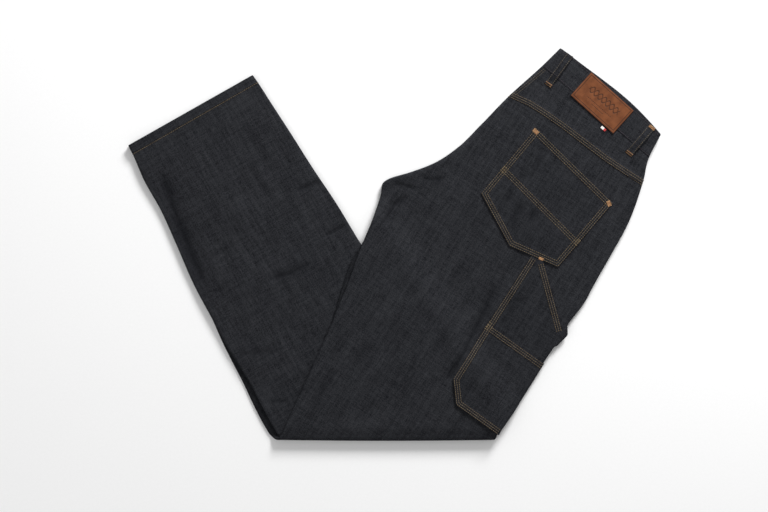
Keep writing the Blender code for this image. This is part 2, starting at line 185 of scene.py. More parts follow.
# %% The creases, in millimetres
# Columns: line of the crease, half width, height (a trough is negative).
THIGH_CREASES = [
    ([(-4, 89), (22, 83), (36, 78)], 3.2, -1.8), ([(35, 97), (55, 93), (79, 98)], 3.2, -1.7),
    ([(23, 72), (-1, 58), (-17, 27)], 3.8, -2.4), ([(69, 114), (86, 117)], 3.4, -0.9),
    ([(37, 10), (58, 22)], 3.6, -1.2), ([(95, -101), (72, -134), (66, -160)], 4.6, -1.3),
    ([(148, -60), (122, -117), (101, -158), (75, -199)], 4.6, -2.2),
    ([(93, -171), (74, -202)], 2.6, -1.8), ([(10, -104), (-16, -150)], 5.4, -1.2),
    ([(43, -64), (11, -82)], 5.0, -0.9), ([(-127, -264), (-90, -180)], 3.2, -1.2),
    ([(102, -26), (78, -66), (68, -92)], 5.2, -0.9), ([(32, -166), (10, -215)], 5.0, -0.8),
    ([(-40, -226), (-54, -262)], 4.2, -0.7), ([(112, 62), (92, 22)], 6.0, -0.7),
    ([(282, 16), (264, -34)], 4.4, -0.7), ([(-28, -10), (-48, -66)], 5.0, -0.7),
    ([(60, 60), (30, 20)], 6.5, -0.6), ([(-72, -120), (-98, -176)], 5.4, -0.8),
    ([(120, -262), (60, -258)], 5.0, -0.6), ([(-10, -40), (-6, -92), (-40, -140)], 20.0, 1.2),
    ([(76, -30), (40, -110)], 18.0, 0.9), ([(118, 120), (132, 150)], 4.0, -0.8),
    ([(150, 172), (170, 196)], 4.0, -0.7), ([(308, 44), (322, 84)], 4.5, -0.8),
]
YOKE_CREASES = [
    ([(207, 231), (213, 250)], 3.6, -1.5), ([(222, 214), (250, 196)], 5.5, -0.6),
    ([(352, 124), (345, 108)], 3.8, -1.3), ([(366, 112), (356, 96)], 4.0, -0.9),
    ([(250, 226), (262, 206)], 4.5, -0.7), ([(300, 168), (322, 142)], 6.0, -0.6),
]
SHIN_CREASES = [
    ([(-347, 110), (-331, 72), (-317, 30), (-295, -23), (-273, -71)], 8.0, -2.8),
    ([(-147, 76), (-106, 93)], 2.9, -2.1), ([(-105, 10), (-66, 31)], 2.9, -2.3),
    ([(-185, -54), (-150, -42), (-117, -24)], 4.0, -2.2), ([(-98, -14), (-82, -7)], 3.6, -1.1),
    ([(-240, -162), (-205, -160), (-164, -157)], 4.2, -1.1), ([(-183, -231), (-150, -230)], 3.2, -1.2),
    ([(-291, -27), (-225, -1)], 5.2, -0.8), ([(-220, 122), (-182, 62)], 4.4, -0.9),
    ([(-168, 136), (-144, 111)], 5.2, -1.0), ([(-345, 150), (-318, 104)], 6.0, -0.9),
    ([(-273, -71), (-245, -68)], 3.4, -1.2), ([(-196, 30), (-170, -20)], 6.0, -0.7),
    ([(-258, 150), (-240, 108)], 6.0, -0.7), ([(-232, -100), (-212, -130)], 5.0, -0.8),
    ([(-240, 70), (-206, 0)], 22.0, 1.3), ([(-300, 110), (-268, 60)], 14.0, 0.8),
]
POCKET_CREASES = [
    ([(173, 84), (161, 57)], 3.2, -1.7), ([(196, 110), (183, 84)], 3.4, -1.2),
    ([(188, 65), (167, 25)], 3.7, -2.1), ([(208, 55), (191, 24)], 3.7, -1.9),
    ([(221, 140), (195, 92)], 3.6, -1.3), ([(262, 100), (240, 60)], 5.2, -0.7),
    ([(180, 50), (200, 90)], 6.0, 0.7),
]
TOOL_CREASES = [
    ([(167, -82), (196, -82)], 2.8, -1.6), ([(173, -90), (155, -121)], 3.2, -1.4),
    ([(186, -132), (184, -148)], 3.0, -2.0), ([(216, -78), (206, -108)], 3.4, -0.9),
    ([(164, -248), (176, -234)], 3.6, -1.0), ([(118, -190), (108, -222)], 5.0, -0.7),
    ([(150, -150), (132, -186)], 5.2, -0.6),
]
BAND_CREASES = [
    ([(226, 258), (240, 278)], 3.0, -0.8), ([(232, 252), (250, 274)], 3.0, -0.6),
    ([(372, 152), (362, 134)], 3.4, -1.0), ([(300, 216), (276, 232)], 5.0, -0.4),
]
BROAD_HEIGHT, BROAD_SIZE = 1.3, 75.0
FINE_HEIGHT, FINE_SIZE = 0.22, 15.0
STREAK_HEIGHT, STREAK_WIDTH, STREAK_LENGTH = 0.5, 10.0, 60.0
SHARPNESS, FADE_SHARE, FADE_WIDTHS = 1.35, 0.45, 4


def ease(value):
    value = np.clip(value, 0.0, 1.0)
    return value * value * (3.0 - 2.0 * value)


def seam_distance(line, x, y):
    """Signed distance to a polyline, positive on its left, and the distance along it."""
    best, signed, along_best, done = np.full(x.shape, 1e9), np.zeros_like(x), np.zeros_like(x), 0.0
    for (x0, y0), (x1, y1) in zip(line, line[1:]):
        dx, dy = x1 - x0, y1 - y0
        length = math.hypot(dx, dy)
        along = np.clip(((x - x0) * dx + (y - y0) * dy) / length, 0, length)
        px, py = x0 + along * dx / length, y0 + along * dy / length
        away = np.hypot(x - px, y - py)
        side = np.sign((y - y0) * dx - (x - x0) * dy)
        near = away < best
        best, signed = np.where(near, away, best), np.where(near, away * side, signed)
        along_best, done = np.where(near, done + along, along_best), done + length
    return signed, along_best


def crease_height(creases, x, y):
    """Sum of soft troughs and ridges along their lines, each fading out at its ends."""
    total = np.zeros_like(x)
    for line, width, height in creases:
        away, along = seam_distance(line, x, y)
        length = sum(math.dist(p, q) for p, q in zip(line, line[1:]))
        fade = min(FADE_SHARE * length, FADE_WIDTHS * width)
        ends = ease(along / fade) * ease((length - along) / fade)
        total += height * ends * np.exp(-np.abs(away / width) ** SHARPNESS)
    return total


def slack(x, y, seed, warp=(-0.543, -0.84)):
    """Broad and fine unevenness of cloth that lies by its own weight, and streaks along its warp."""
    def at(a, b):
        streak = Vector(((b * warp[0] - a * warp[1]) / STREAK_WIDTH,
                         (a * warp[0] + b * warp[1]) / STREAK_LENGTH, seed + 5))
        return (BROAD_HEIGHT * noise.noise(Vector((a / BROAD_SIZE, b / BROAD_SIZE, seed)))
                + FINE_HEIGHT * noise.noise(Vector((a / FINE_SIZE, b / (1.6 * FINE_SIZE), seed + 9)))
                + STREAK_HEIGHT * noise.noise(streak))

    return np.array([at(a, b) for a, b in zip(x.ravel(), y.ravel())]).reshape(x.shape)


print(len(THIGH_CREASES) + len(YOKE_CREASES) + len(SHIN_CREASES) + len(POCKET_CREASES), "creases")

# %% [markdown]
# ## Seams that raise the cloth
#
# A felled seam is several layers thick, so it stands up as a band, and the thread pulls it into a
# row of small puckers. Both are added to the height of the cloth within the band's width.

# %% Distance to a seam, and the ridge it makes
YOKE_LINE = [(164, 220.5), (171.5, 217), (198, 205), (219.8, 191), (246.4, 172.4), (283.6, 144),
             (309.6, 124.3), (335.6, 106.8), (363, 89)]
BAND_LINE = [(215.5, 260), (372, 126.5)]
PUCKER_LENGTH = 8.5


def ridge(line, x, y, low, high, height, soft=1.4, pucker=0.16):
    """A raised band from low to high beside a seam line, with puckers across it."""
    away, along = seam_distance(line, x, y)
    band = ease((away - low) / soft + 0.5) * ease((high - away) / soft + 0.5)
    near = np.exp(-(((away - (low + high) / 2) / (high - low)) ** 2))
    wave = np.sin(2 * math.pi * along / PUCKER_LENGTH + 1.3 * np.sin(along / 23.0))
    return height * band + pucker * wave * near


# %% [markdown]
# ## Placing points
#
# A point of the cloth is a row, a distance across and a level in the stack. The thighs lie on
# the shins and sink to the ground beside them. At the knees the whole stack turns round.

# %% From the stack to space
SHIN_EDGE = ((-207.0, 247.0), (144.0, -278.0))
SUPPORT_NEAR, SUPPORT_FAR, SUPPORT_BLEND = 22.0, 70.0, 60.0
ROLL_LENGTH, ROLL_SINK, FOLD_BOW = 13.0, 2.2, 1.3
EDGE_BASE, EDGE_SHARE, SIDE_DROP, UNDER_DROP = 1.5, 0.9, 0.25, 0.38
GROOVE, GROOVE_FULL, LEDGE = 4.0, 0.4, 0.3
INSEAM = [(-17, 89), (-45, 5), (-69, -60), (-122, -184), (-164, -277)]


def support(x, y):
    (x0, y0), (x1, y1) = SHIN_EDGE
    length = math.hypot(x1 - x0, y1 - y0)
    beyond = ((x - x0) * -(y1 - y0) + (y - y0) * (x1 - x0)) / length
    held = 1.0 - ease((beyond - SUPPORT_NEAR) / (SUPPORT_FAR - SUPPORT_NEAR))
    near_fold = 1.0 - ease((y - FOLD_Y) / SUPPORT_BLEND)
    return (KNEE_STACK + 2 * FOLD_RADIUS) * (held + (1.0 - held) * near_fold)


def plan(run, across):
    line = (run.right - run.left) / run.width
    share = np.clip(across / run.width, 0, 1)
    lift = run.bow * np.sin(math.pi * share) + run.sway * np.sin(2 * math.pi * share)
    x = run.left[:, 0:1] + line[:, 0:1] * across - line[:, 1:2] * lift
    y = run.left[:, 1:2] + line[:, 1:2] * across + line[:, 0:1] * lift
    return x, y


def unevenness(x, y, upper):
    """Height of creases and slack on the faces that show, fading where layers press together."""
    if upper:
        edge = np.minimum(ease((y - FOLD_Y - 4.0) / 26.0), 1.0)
        waist, _ = seam_distance(BAND_LINE, x, y)
        edge = edge * ease((-waist) / 30.0)
        return edge * (crease_height(THIGH_CREASES + YOKE_CREASES, x, y) + slack(x, y, 3.0))
    away, _ = seam_distance(INSEAM, x, y)
    shown = np.where(y > 95.0, 1.0, ease((-away - 3.0) / 14.0))
    hem = ease((seam_distance([(-382, 130), (-199, 235)], x, y)[0] * -1.0) / 22.0)
    return shown * hem * (crease_height(SHIN_CREASES, x, y) + slack(x, y, 17.0, (0.5, -0.866)))


def place(run, across, level, wrinkle=True):
    """Points in metres, rows by columns by three."""
    x, y = plan(run, across)
    angle = run.angle[:, None]
    turn = np.radians(angle)
    reach = FOLD_RADIUS + level
    z_up, z_down = support(x, y) + level, run.stack - level
    z_turn = KNEE_STACK + FOLD_RADIUS + reach * np.cos(turn)
    y_turn = FOLD_Y - reach * np.sin(turn)
    sink = ROLL_SINK * np.clip(level / run.stack, 0, 1.3)
    z_up = z_up - sink * np.clip(1 - (y - FOLD_Y) / ROLL_LENGTH, 0, 1) ** 2
    z_turn = z_turn - sink * np.maximum(np.cos(turn), 0)
    y_turn = y_turn - FOLD_BOW * np.sin(turn) * np.sin(math.pi * np.clip(across / run.width, 0, 1))
    z = np.where(angle == 0, z_up, np.where(angle == 180, z_down, z_turn))
    folded = (angle > 0) & (angle < 180)
    if wrinkle:
        share = np.clip(level / run.stack, 0, 1.2)
        if (run.angle == 0).any():
            z = z + np.where(angle == 0, share * unevenness(x, y, True), 0)
        if (run.angle == 180).any():
            z = z + np.where(angle == 180, np.clip(1 - share, 0, 1) * unevenness(x, y, False), 0)
    return np.stack([x, np.where(folded, y_turn, y), z], -1) * MM


def roll_size(run, upper, right):
    share = SIDE_DROP if right else (run.drop if upper else np.minimum(run.drop, UNDER_DROP))
    drop = share * run.stack
    return EDGE_BASE + EDGE_SHARE * drop, drop


def skin(run, upper, moved, middle, turns=7, flare=0.0):
    """Distances across and levels of one face, moved outward, with rounded side edges."""
    angles = np.radians(np.linspace(0, 90, turns))[None, :]
    sides, edges = [], []
    for right in (False, True):
        edge, drop = roll_size(run, upper, right)
        across = -moved + (edge + moved) * (1 - np.cos(angles))
        level = drop - (drop + moved) * np.sin(angles)
        if right:
            across = run.width - across + flare * np.cos(angles)
        elif not upper:
            across = across + run.inset
        sides.append((across, run.stack - level if upper else level))
        edges.append(edge + (run.inset if (not right and not upper) else 0.0))
    share = (np.arange(1, middle) / middle)[None, :]
    flat = edges[0] + (run.width - edges[0] - edges[1]) * share
    level = np.broadcast_to(run.stack + moved if upper else -moved + 0 * run.stack, flat.shape)
    return (np.hstack([sides[0][0], flat, sides[1][0][:, ::-1]]),
            np.hstack([sides[0][1], level, sides[1][1][:, ::-1]]))


# %% [markdown]
# Denim's grain follows the leg, so each piece carries a flat map in metres whose second axis is
# the warp. On the fold the map keeps counting round the turn.

# %% Making meshes
THIGH_WARP = np.array([-0.543, -0.84])
SHIN_WARP = np.array([0.50, -0.866])
# Crease depth in millimetres at which the painted crease shade is full.
PAINTED_CREASE_SHADE_FULL = 2.4
shells = []


def grid_quads(rows, columns, loop=False, first=0):
    across = columns if loop else columns - 1
    row, column = np.meshgrid(np.arange(rows - 1), np.arange(across), indexing="ij")
    a = (first + row * columns + column).ravel()
    b = (first + row * columns + (column + 1) % columns).ravel()
    return np.stack([a, b, b + columns, a + columns], 1).tolist()


def set_map(mesh, warp):
    layer = mesh.uv_layers.new(name="cloth")
    co = np.empty(len(mesh.vertices) * 3)
    mesh.vertices.foreach_get("co", co)
    co = co.reshape(-1, 3)
    along = co[:, 0] * warp[0] + co[:, 1] * warp[1]
    across = co[:, 0] * -warp[1] + co[:, 1] * warp[0]
    turned = np.clip(FOLD_Y * MM - co[:, 1], 0, None) > 0.0005
    along = along + np.where(turned, (0.0164 - co[:, 2]), 0.0)
    loops = np.empty(len(mesh.loops), np.int32)
    mesh.loops.foreach_get("vertex_index", loops)
    uv = np.stack([across[loops], along[loops]], 1)
    layer.data.foreach_set("uv", uv.ravel())


def new_object(name, points, faces, warp=THIGH_WARP, sharp=55.0):
    mesh = bpy.data.meshes.new(name)
    mesh.from_pydata(np.asarray(points).reshape(-1, 3).tolist(), [], faces)
    work = bmesh.new()
    work.from_mesh(mesh)
    bmesh.ops.recalc_face_normals(work, faces=work.faces)
    work.to_mesh(mesh)
    work.free()
    mesh.shade_smooth()
    mesh.set_sharp_from_angle(angle=math.radians(sharp))
    set_map(mesh, warp)
    return add(name, mesh)


def shell_between(name, outer, inner, warp=THIGH_WARP):
    rows, columns = outer.shape[:2]
    size = rows * columns
    faces = grid_quads(rows, columns)
    faces += [list(reversed(face)) for face in grid_quads(rows, columns, first=size)]
    rim = list(range(columns)) + [r * columns + columns - 1 for r in range(1, rows)]
    rim += [(rows - 1) * columns + c for c in range(columns - 2, -1, -1)]
    rim += [r * columns for r in range(rows - 2, 0, -1)]
    faces += [[a, a + size, b + size, b] for a, b in zip(rim, rim[1:] + rim[:1])]
    return new_object(name, np.concatenate([outer.reshape(-1, 3), inner.reshape(-1, 3)]), faces, warp)


def set_painted_crease_shade(item, outer, creases):
    """Stores painted shade at each outer point, stronger the deeper it lies in a crease, for darkening the
    denim's colour.
    """
    x, y = outer[..., 0].ravel() / MM, outer[..., 1].ravel() / MM
    depth = np.zeros(len(item.data.vertices))
    depth[:len(x)] = np.clip(-crease_height(creases, x, y) / PAINTED_CREASE_SHADE_FULL, 0, 1)
    item.data.attributes.new("painted_crease_shade", "FLOAT", "POINT").data.foreach_set("value", depth)


def lift(points, height):
    points = points.copy()
    points[..., 2] += height * MM
    return points


# %% [markdown]
# ## The panels
#
# The back panel of the right leg is one piece of denim from the yoke down round the knee fold.
# The yoke laps it along a felled seam. The left leg's back panel shows only below the knee.

# %% Back panel, yoke and shin panel
CLOTH, GAP = 1.2, 0.32
STEP = 2.4
FELL = 4.6


def xy(points):
    return points[..., 0] / MM, points[..., 1] / MM


def face(run, upper, moved, middle):
    """Points of one face of the stack, moved out of it by a distance."""
    return place(run, *skin(run, upper, moved, middle))


THIGH_COLUMNS, YOKE_COLUMNS, SHIN_COLUMNS = 150, 110, 124
FELL_HEIGHT, FELL_EDGE, SEAT_RIDGE, BAND_PULL = 0.95, 0.9, 0.45, 0.6
seat_at, knee_end = AT["yoke_seam"] - 2.0, UPPER_AT[-1]
thigh_run = run_between(seat_at, knee_end, STEP) + fold_run(16) + run_between(0.0, 0.01, 1.0, under=True)
outer = face(thigh_run, True, 0.0, THIGH_COLUMNS)
inner = face(thigh_run, True, -CLOTH, THIGH_COLUMNS)
x, y = xy(outer)
seat_seam = [(126, 174), (91, 140), (55, 117), (23, 105), (-9, 95)]
flat_part = (thigh_run.angle == 0)[:, None]
outer = lift(outer, flat_part * ridge(seat_seam, x, y, 1.0, 10.5, SEAT_RIDGE))
back_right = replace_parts(shell_between("cloth_back_right", outer, inner), "back_right")
set_painted_crease_shade(back_right, outer, THIGH_CREASES)

yoke_run = run_between(AT["band_seam"] + 0.4, AT["yoke_seam"] + FELL, 1.6)
outer = face(yoke_run, True, 0.0, YOKE_COLUMNS)
x, y = xy(outer)
away, _ = seam_distance(YOKE_LINE, x, y)
fell = ridge(YOKE_LINE, x, y, -FELL - 3, FELL, FELL_HEIGHT)
edge_fall = -FELL_EDGE * ease((-away - FELL + 1.3) / 1.2)
band_away, _ = seam_distance(BAND_LINE, x, y)
outer = lift(outer, fell + edge_fall - BAND_PULL * np.exp(-((band_away / 1.6) ** 2)))
inner = lift(face(yoke_run, True, -CLOTH, YOKE_COLUMNS), np.where(away < FELL, CLOTH + 0.05, 0.0))
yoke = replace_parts(shell_between("cloth_yoke_right", outer, inner), "yoke_right")
set_painted_crease_shade(yoke, outer, YOKE_CREASES)

shin_run = run_between(0.8, AT["hem_seam"] + 3.0, 2.3, under=True)
outer = face(shin_run, False, 0.0, SHIN_COLUMNS)
inner = face(shin_run, False, -CLOTH, SHIN_COLUMNS)
back_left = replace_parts(shell_between("cloth_back_left", outer, inner, SHIN_WARP), "back_left")
set_painted_crease_shade(back_left, outer, SHIN_CREASES)
shells += [back_right, yoke, back_left]
print("panels", [len(item.data.polygons) for item in shells])

# %% [markdown]
# ## The layers between
#
# Four layers of denim lie under the panel that shows. Only their edges can be seen: the two leg
# tubes' rounded sides with a groove between them. They stay one body, rounded like the CAD solid.

# %% Hidden layers
def side_layers(run, right, upper_cut, under_cut):
    _, upper_drop = roll_size(run, True, right)
    _, under_drop = roll_size(run, False, right)
    inset = 0.0 * run.inset if right else run.inset
    top, bottom = run.stack - upper_drop - LEDGE, under_drop + LEDGE
    middle = (top + bottom) / 2
    depth = GROOVE * np.minimum(1.0, (top - bottom) / (GROOVE_FULL * run.stack))
    deep = np.maximum(inset, 0.0) + depth
    points = [(upper_cut, top + np.where(upper_cut > 0, 0.0, LEDGE / 2)), (0 * top, top)]
    for bend in np.radians([22, 45, 68]):
        points.append((deep * (1 - math.cos(bend)), top - (top - middle) * math.sin(bend)))
    points.append((deep, middle))
    for bend in np.radians([68, 45, 22]):
        points.append((inset + (deep - inset) * (1 - math.cos(bend)),
                       bottom + (middle - bottom) * math.sin(bend)))
    points += [(inset, bottom), (inset + under_cut, bottom - np.where(under_cut > 0, 0.0, LEDGE / 2))]
    across = np.hstack([a + 0 * top for a, _ in points])
    level = np.hstack([b + 0 * top for _, b in points])
    return (run.width - across if right else across), level


cut = CLOTH + GAP
before = (run_between(AT["band_seam"] + 0.35, knee_end, 6.0) + fold_run(16)
          + run_between(0.0, 0.35, 0.3, under=True))
after = run_between(0.45, AT["hem_seam"] - 0.35, 6.0, under=True)
layer_run = before + after
upper_cut = np.concatenate([np.full(len(before.angle), cut), np.zeros(len(after.angle))])[:, None]
under_cut = cut - upper_cut


def face_points(run, upper, cuts, middle=44):
    deep_across, deep_level = skin(run, upper, -cut, middle, 5)
    flush_across, flush_level = skin(run, upper, 0.0, middle, 5)
    pick = cuts > 0
    return np.where(pick, deep_across, flush_across), np.where(pick, deep_level, flush_level)


top_face = face_points(layer_run, True, upper_cut)
low_face = face_points(layer_run, False, under_cut)
right_side = side_layers(layer_run, True, upper_cut, under_cut)
left_side = side_layers(layer_run, False, upper_cut, under_cut)
across = np.hstack([top_face[0], right_side[0], low_face[0][:, ::-1], left_side[0][:, ::-1]])
level = np.hstack([top_face[1], right_side[1], low_face[1][:, ::-1], left_side[1][:, ::-1]])
points = place(layer_run, across, level)
rows, columns = points.shape[:2]
faces = grid_quads(rows, columns, loop=True)
faces += [list(range(columns)), list(range((rows - 1) * columns, rows * columns))]
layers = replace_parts(new_object("cloth_hidden_layers", points, faces), "hidden_layers")
print("hidden layers", len(layers.data.polygons), "faces")

# %% [markdown]
# ## Waistband and hems
#
# The waistband is a closed band, folded with the trousers: back, side fold, front and home again.
# Its edges are round, because the band is one strip folded over. The hems are tubes pressed flat.

# %% Rings of folded cloth
BAND_CLOTH, BAND_SLOT, BAND_BACK_FOLD, HEM_CLOTH = 2.2, 0.4, 1.1, 2.0
END_ANGLES = [12, 35, 60, 90]


def folded_path(width, middle, levels, turns, steps=8):
    path = []
    for (level, rightward), (centre, half, side) in zip(levels, turns):
        line = [(a, level) for a in np.linspace(0.04 * width, width - 8.0, middle)]
        path += line if rightward else line[::-1]
        start = 90.0 if level > centre[1] else -90.0
        for step in range(steps + 1):
            turn = math.radians(start * (1 - 2 * step / steps))
            path.append((centre[0] + side * half[0] * math.cos(turn), centre[1] + half[1] * math.sin(turn)))
    return np.array(path)


def moved_path(path, distance):
    before, after = path - np.roll(path, 1, 0), np.roll(path, -1, 0) - path
    before /= np.linalg.norm(before, axis=1)[:, None]
    after /= np.linalg.norm(after, axis=1)[:, None]
    normal = np.stack([-(before + after)[:, 1], (before + after)[:, 0]], 1)
    normal /= np.linalg.norm(normal, axis=1)[:, None]
    reach = distance / np.maximum((normal * np.stack([-after[:, 1], after[:, 0]], 1)).sum(1), 0.5)
    return path + normal * reach[:, None]


def ring(name, run, path_of, thickness, rounding, lift_of, warp):
    """A ring of cloth whose free edges are rounded over their last few millimetres."""
    count = len(run.angle)
    sides = []
    for way in (1, -1):
        grid = []
        for k in range(count):
            one = Run(run.values[k:k + 1], run.angle[k:k + 1])
            half = thickness / 2 * rounding[k]
            path = moved_path(path_of(float(one.width[0, 0]), float(one.stack[0, 0])), way * half)
            grid.append(place(one, path[None, :, 0], path[None, :, 1], wrinkle=False)[0])
        sides.append(np.array(grid))
    sides[0] = lift_of(sides[0])
    rows, columns = sides[0].shape[:2]
    size = rows * columns
    faces = grid_quads(rows, columns, loop=True)
    faces += [face[::-1] for face in grid_quads(rows, columns, loop=True, first=size)]
    for first in (0, (rows - 1) * columns):
        faces += [[first + c, first + (c + 1) % columns, size + first + (c + 1) % columns, size + first + c]
                  for c in range(columns)]
    return new_object(name, np.concatenate([side.reshape(-1, 3) for side in sides]), faces, warp)


def waistband_path(width, stack):
    pitch, half = BAND_CLOTH + BAND_SLOT, BAND_CLOTH / 2
    level = [stack - half - pitch * layer for layer in range(4)]
    small, big = pitch / 2, (level[0] - level[3]) / 2
    right, left = width - small - half, big * BAND_BACK_FOLD + half
    inner = left + small
    return folded_path(width, 52, [(level[0], True), (level[1], False), (level[2], True), (level[3], False)],
                       [((right, (level[0] + level[1]) / 2), (small, small), 1),
                        ((inner, (level[1] + level[2]) / 2), (small, small), -1),
                        ((right, (level[2] + level[3]) / 2), (small, small), 1),
                        ((left, (level[0] + level[3]) / 2), (big * BAND_BACK_FOLD, big), -1)])


def hem_path(low):
    def path(width, stack):
        tube = stack / 2 - GAP / 2
        base = 0.0 if low else stack - tube
        half = (tube - HEM_CLOTH) / 2
        reach, middle = half + HEM_CLOTH / 2, base + tube / 2
        return folded_path(width, 60, [(base + tube - HEM_CLOTH / 2, True), (base + HEM_CLOTH / 2, False)],
                           [((width - reach, middle), (half, half), 1), ((reach, middle), (half, half), -1)])
    return path


def ring_rows(start, end, step, under, rounded_start, thickness):
    """Rows along a strip, close together at its rounded end, and the half thickness at each."""
    length, radius = abs(end - start), thickness / 2
    lead = list(radius * (1 - np.cos(np.radians(END_ANGLES))))
    scale = [math.sin(math.acos(1 - d / radius)) for d in lead]
    rest = list(np.linspace(thickness / 2 + 1.0, length, max(int(length / step), 3)))
    where, scale = lead + rest, scale + [1.0] * len(rest)
    if not rounded_start:
        where, scale = [length - w for w in where[::-1]], scale[::-1]
    table, at = (LOWER, LOWER_AT) if under else (UPPER, UPPER_AT)
    values = read_rows(table, at, start + np.array(where) * np.sign(end - start))
    return Run(values, np.full(len(where), 180.0 if under else 0.0)), scale


def band_lift(points):
    x, y = xy(points)
    waist = [(244, 285), (253, 280.3), (266, 270), (288, 249.5), (355, 195), (372, 180), (388, 160)]
    top = points[..., 2] > 0.0092
    low = ridge(BAND_LINE, x, y, 0.5, 4.0, 0.15, pucker=0.12)
    high = ridge(waist, x, y, -4.0, -0.5, 0.1, pucker=0.14)
    uneven = 0.35 * slack(x, y, 31.0) + crease_height(BAND_CREASES, x, y)
    return lift(points, np.where(top, low + high + uneven, 0.0))


band_run, band_round = ring_rows(0.0, AT["band_seam"], 2.4, False, True, BAND_CLOTH)
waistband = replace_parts(ring("cloth_waistband", band_run, waistband_path, BAND_CLOTH, band_round, band_lift,
                             np.array([0.75, -0.66])), "waistband")
hem_run, hem_round = ring_rows(AT["hem_seam"], LOWER_AT[-1], 1.6, True, False, HEM_CLOTH)
hem_run.values[:, 4] = SHINS[-1].stack
hem_run = Run(hem_run.values, hem_run.angle)


def hem_lift(points):
    x, y = xy(points)
    rope = ridge([(-388, 142), (-206, 245)], x, y, -13.0, -1.0, 0.0, pucker=0.22)
    return lift(points, np.where(points[..., 2] > 0.0088, rope, 0.0))


hem_left, hem_right = (
    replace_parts(ring("cloth_" + node, hem_run, hem_path(low), HEM_CLOTH, hem_round, lift_of, SHIN_WARP), node)
    for node, low, lift_of in (("hem_left", True, hem_lift), ("hem_right", False, lambda p: p)))
shells += [waistband, hem_left]
print("waistband", len(waistband.data.polygons), "hem", len(hem_left.data.polygons), "faces")

# %% [markdown]
# ## Pockets
#
# Each pocket is cut from the surface it is sewn to, moved out by one more layer, and trimmed
# along its outline. Its edges are turned in, so the outer centimetre is thicker than the middle,
# and its rim is round.

# %% Cutting pieces from the cloth below
TURNED, RIM, TURNED_HEIGHT, PUCKER, FULL_REACH = 9.5, 0.8, 0.42, 0.17, 26.0


def polygon_distance(outline, x, y, skip=()):
    """Distance from the outline's sides, apart from those that are skipped."""
    best = np.full(np.shape(x), 1e9)
    for k, ((x0, y0), (x1, y1)) in enumerate(zip(outline, outline[1:] + outline[:1])):
        if k in skip:
            continue
        dx, dy = x1 - x0, y1 - y0
        along = np.clip(((x - x0) * dx + (y - y0) * dy) / (dx * dx + dy * dy), 0, 1)
        best = np.minimum(best, np.hypot(x - x0 - along * dx, y - y0 - along * dy))
    return best


def inside(outline, x, y):
    """Whether a point lies within the outline."""
    crossings = 0
    for (x0, y0), (x1, y1) in zip(outline, outline[1:] + outline[:1]):
        crossings += (y0 > y) != (y1 > y) and x < x0 + (y - y0) * (x1 - x0) / (y1 - y0)
    return crossings % 2 == 1


def cut_piece(name, run, level, outline, skip, creases, node, flare=0.0, columns=None, middle=120,
              fullness=0.5):
    """A clockwise outline cut from the skin at a level, thickened downward."""
    across, heights = skin(run, True, level, middle, 7, flare)
    across, heights = (across[:, columns], heights[:, columns]) if columns else (across, heights)
    points = place(run, across, heights)
    work = bmesh.new()
    verts = [work.verts.new(p) for p in points.reshape(-1, 3)]
    for face in grid_quads(*points.shape[:2]):
        work.faces.new([verts[k] for k in face])
    for k, ((x0, y0), (x1, y1)) in enumerate(zip(outline, outline[1:] + outline[:1])):
        if k in skip:
            continue
        outward = Vector((-(y1 - y0), x1 - x0, 0)).normalized()
        for depth in (0.0, 0.25, 0.7, 1.4, TURNED):
            where = Vector((x0, y0, 0)) * MM - outward * depth * MM
            bmesh.ops.bisect_plane(work, geom=work.verts[:] + work.edges[:] + work.faces[:], plane_co=where,
                                   plane_no=outward, dist=1e-6)
    beyond = [f for f in work.faces if not inside(outline, *(f.calc_center_median().xy / MM))]
    bmesh.ops.delete(work, geom=beyond, context="FACES")
    co = np.array([v.co[:] for v in work.verts])
    x, y = co[:, 0] / MM, co[:, 1] / MM
    away = polygon_distance(outline, x, y, skip)
    rim = np.clip(away, 0, RIM)
    fall = RIM - np.sqrt(np.maximum(RIM**2 - (RIM - rim) ** 2, 0))
    turned = TURNED_HEIGHT * (1 - ease((away - TURNED + 1.0) / 2.0))
    middle_part = ease((away - TURNED) / FULL_REACH)
    wave = np.sin((x * 0.62 - y * 0.79) * 0.72 + 1.2 * np.sin(x / 17))
    puckers = PUCKER * wave * np.exp(-(((away - 5) / 7) ** 2))
    extra = turned - fall + puckers + middle_part * (fullness + crease_height(creases, x, y)) + 0.2
    for vert, dz in zip(work.verts, extra):
        vert.co.z += float(dz) * MM
    mesh = bpy.data.meshes.new(name)
    work.to_mesh(mesh)
    work.free()
    item = add(name, mesh)
    if mesh.polygons[0].normal.z < 0:
        mesh.flip_normals()
    solid = item.modifiers.new("thickness", "SOLIDIFY")
    solid.thickness, solid.offset = (CLOTH + 0.15) * MM, -1.0
    applied = evaluated_mesh(item)
    applied.shade_smooth()
    applied.set_sharp_from_angle(angle=math.radians(60.0))
    set_map(applied, THIGH_WARP)
    co = np.array([v.co[:] for v in applied.vertices])
    set_painted_crease_shade(item, co, creases)
    shells.append(item)
    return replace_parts(item, node)


FIRST = GAP + CLOTH
POCKET = [(206.3, 170), (319, 59.4), (238.6, -34.3), (167.3, -2.8), (125.8, 74.2)]
RULER = [(199.4, -17.5), (217.4, -25.4), (244.6, -126.2), (251.7, -120.7), (262, -128), (168, -290),
         (148.8, -276.9), (89.2, -234), (85.2, -196.2)]
TOOL = [(135.9, -116), (217.4, -174), (238, -188), (168, -290), (148.8, -276.9), (89.2, -234), (85.2, -196.2)]
pocket_run = run_between(AT["yoke_seam"], AT["crotch"] + 10, 2.4)
pocket = cut_piece("cloth_back_pocket", pocket_run, FIRST, POCKET, (), POCKET_CREASES, "back_pocket",
                   fullness=0.7)
ruler_run = run_between(AT["rise"] - 30, knee_end, 2.4)
where = np.linspace(AT["rise"] - 30, knee_end, len(ruler_run.angle))
ear_at = [AT["opening_end"] - 10, AT["opening_end"] - 1, AT["thigh_high"], AT["thigh_high"] + 3]
ear = np.interp(where, ear_at, [0, 5.4, 2.6, 0])[:, None]
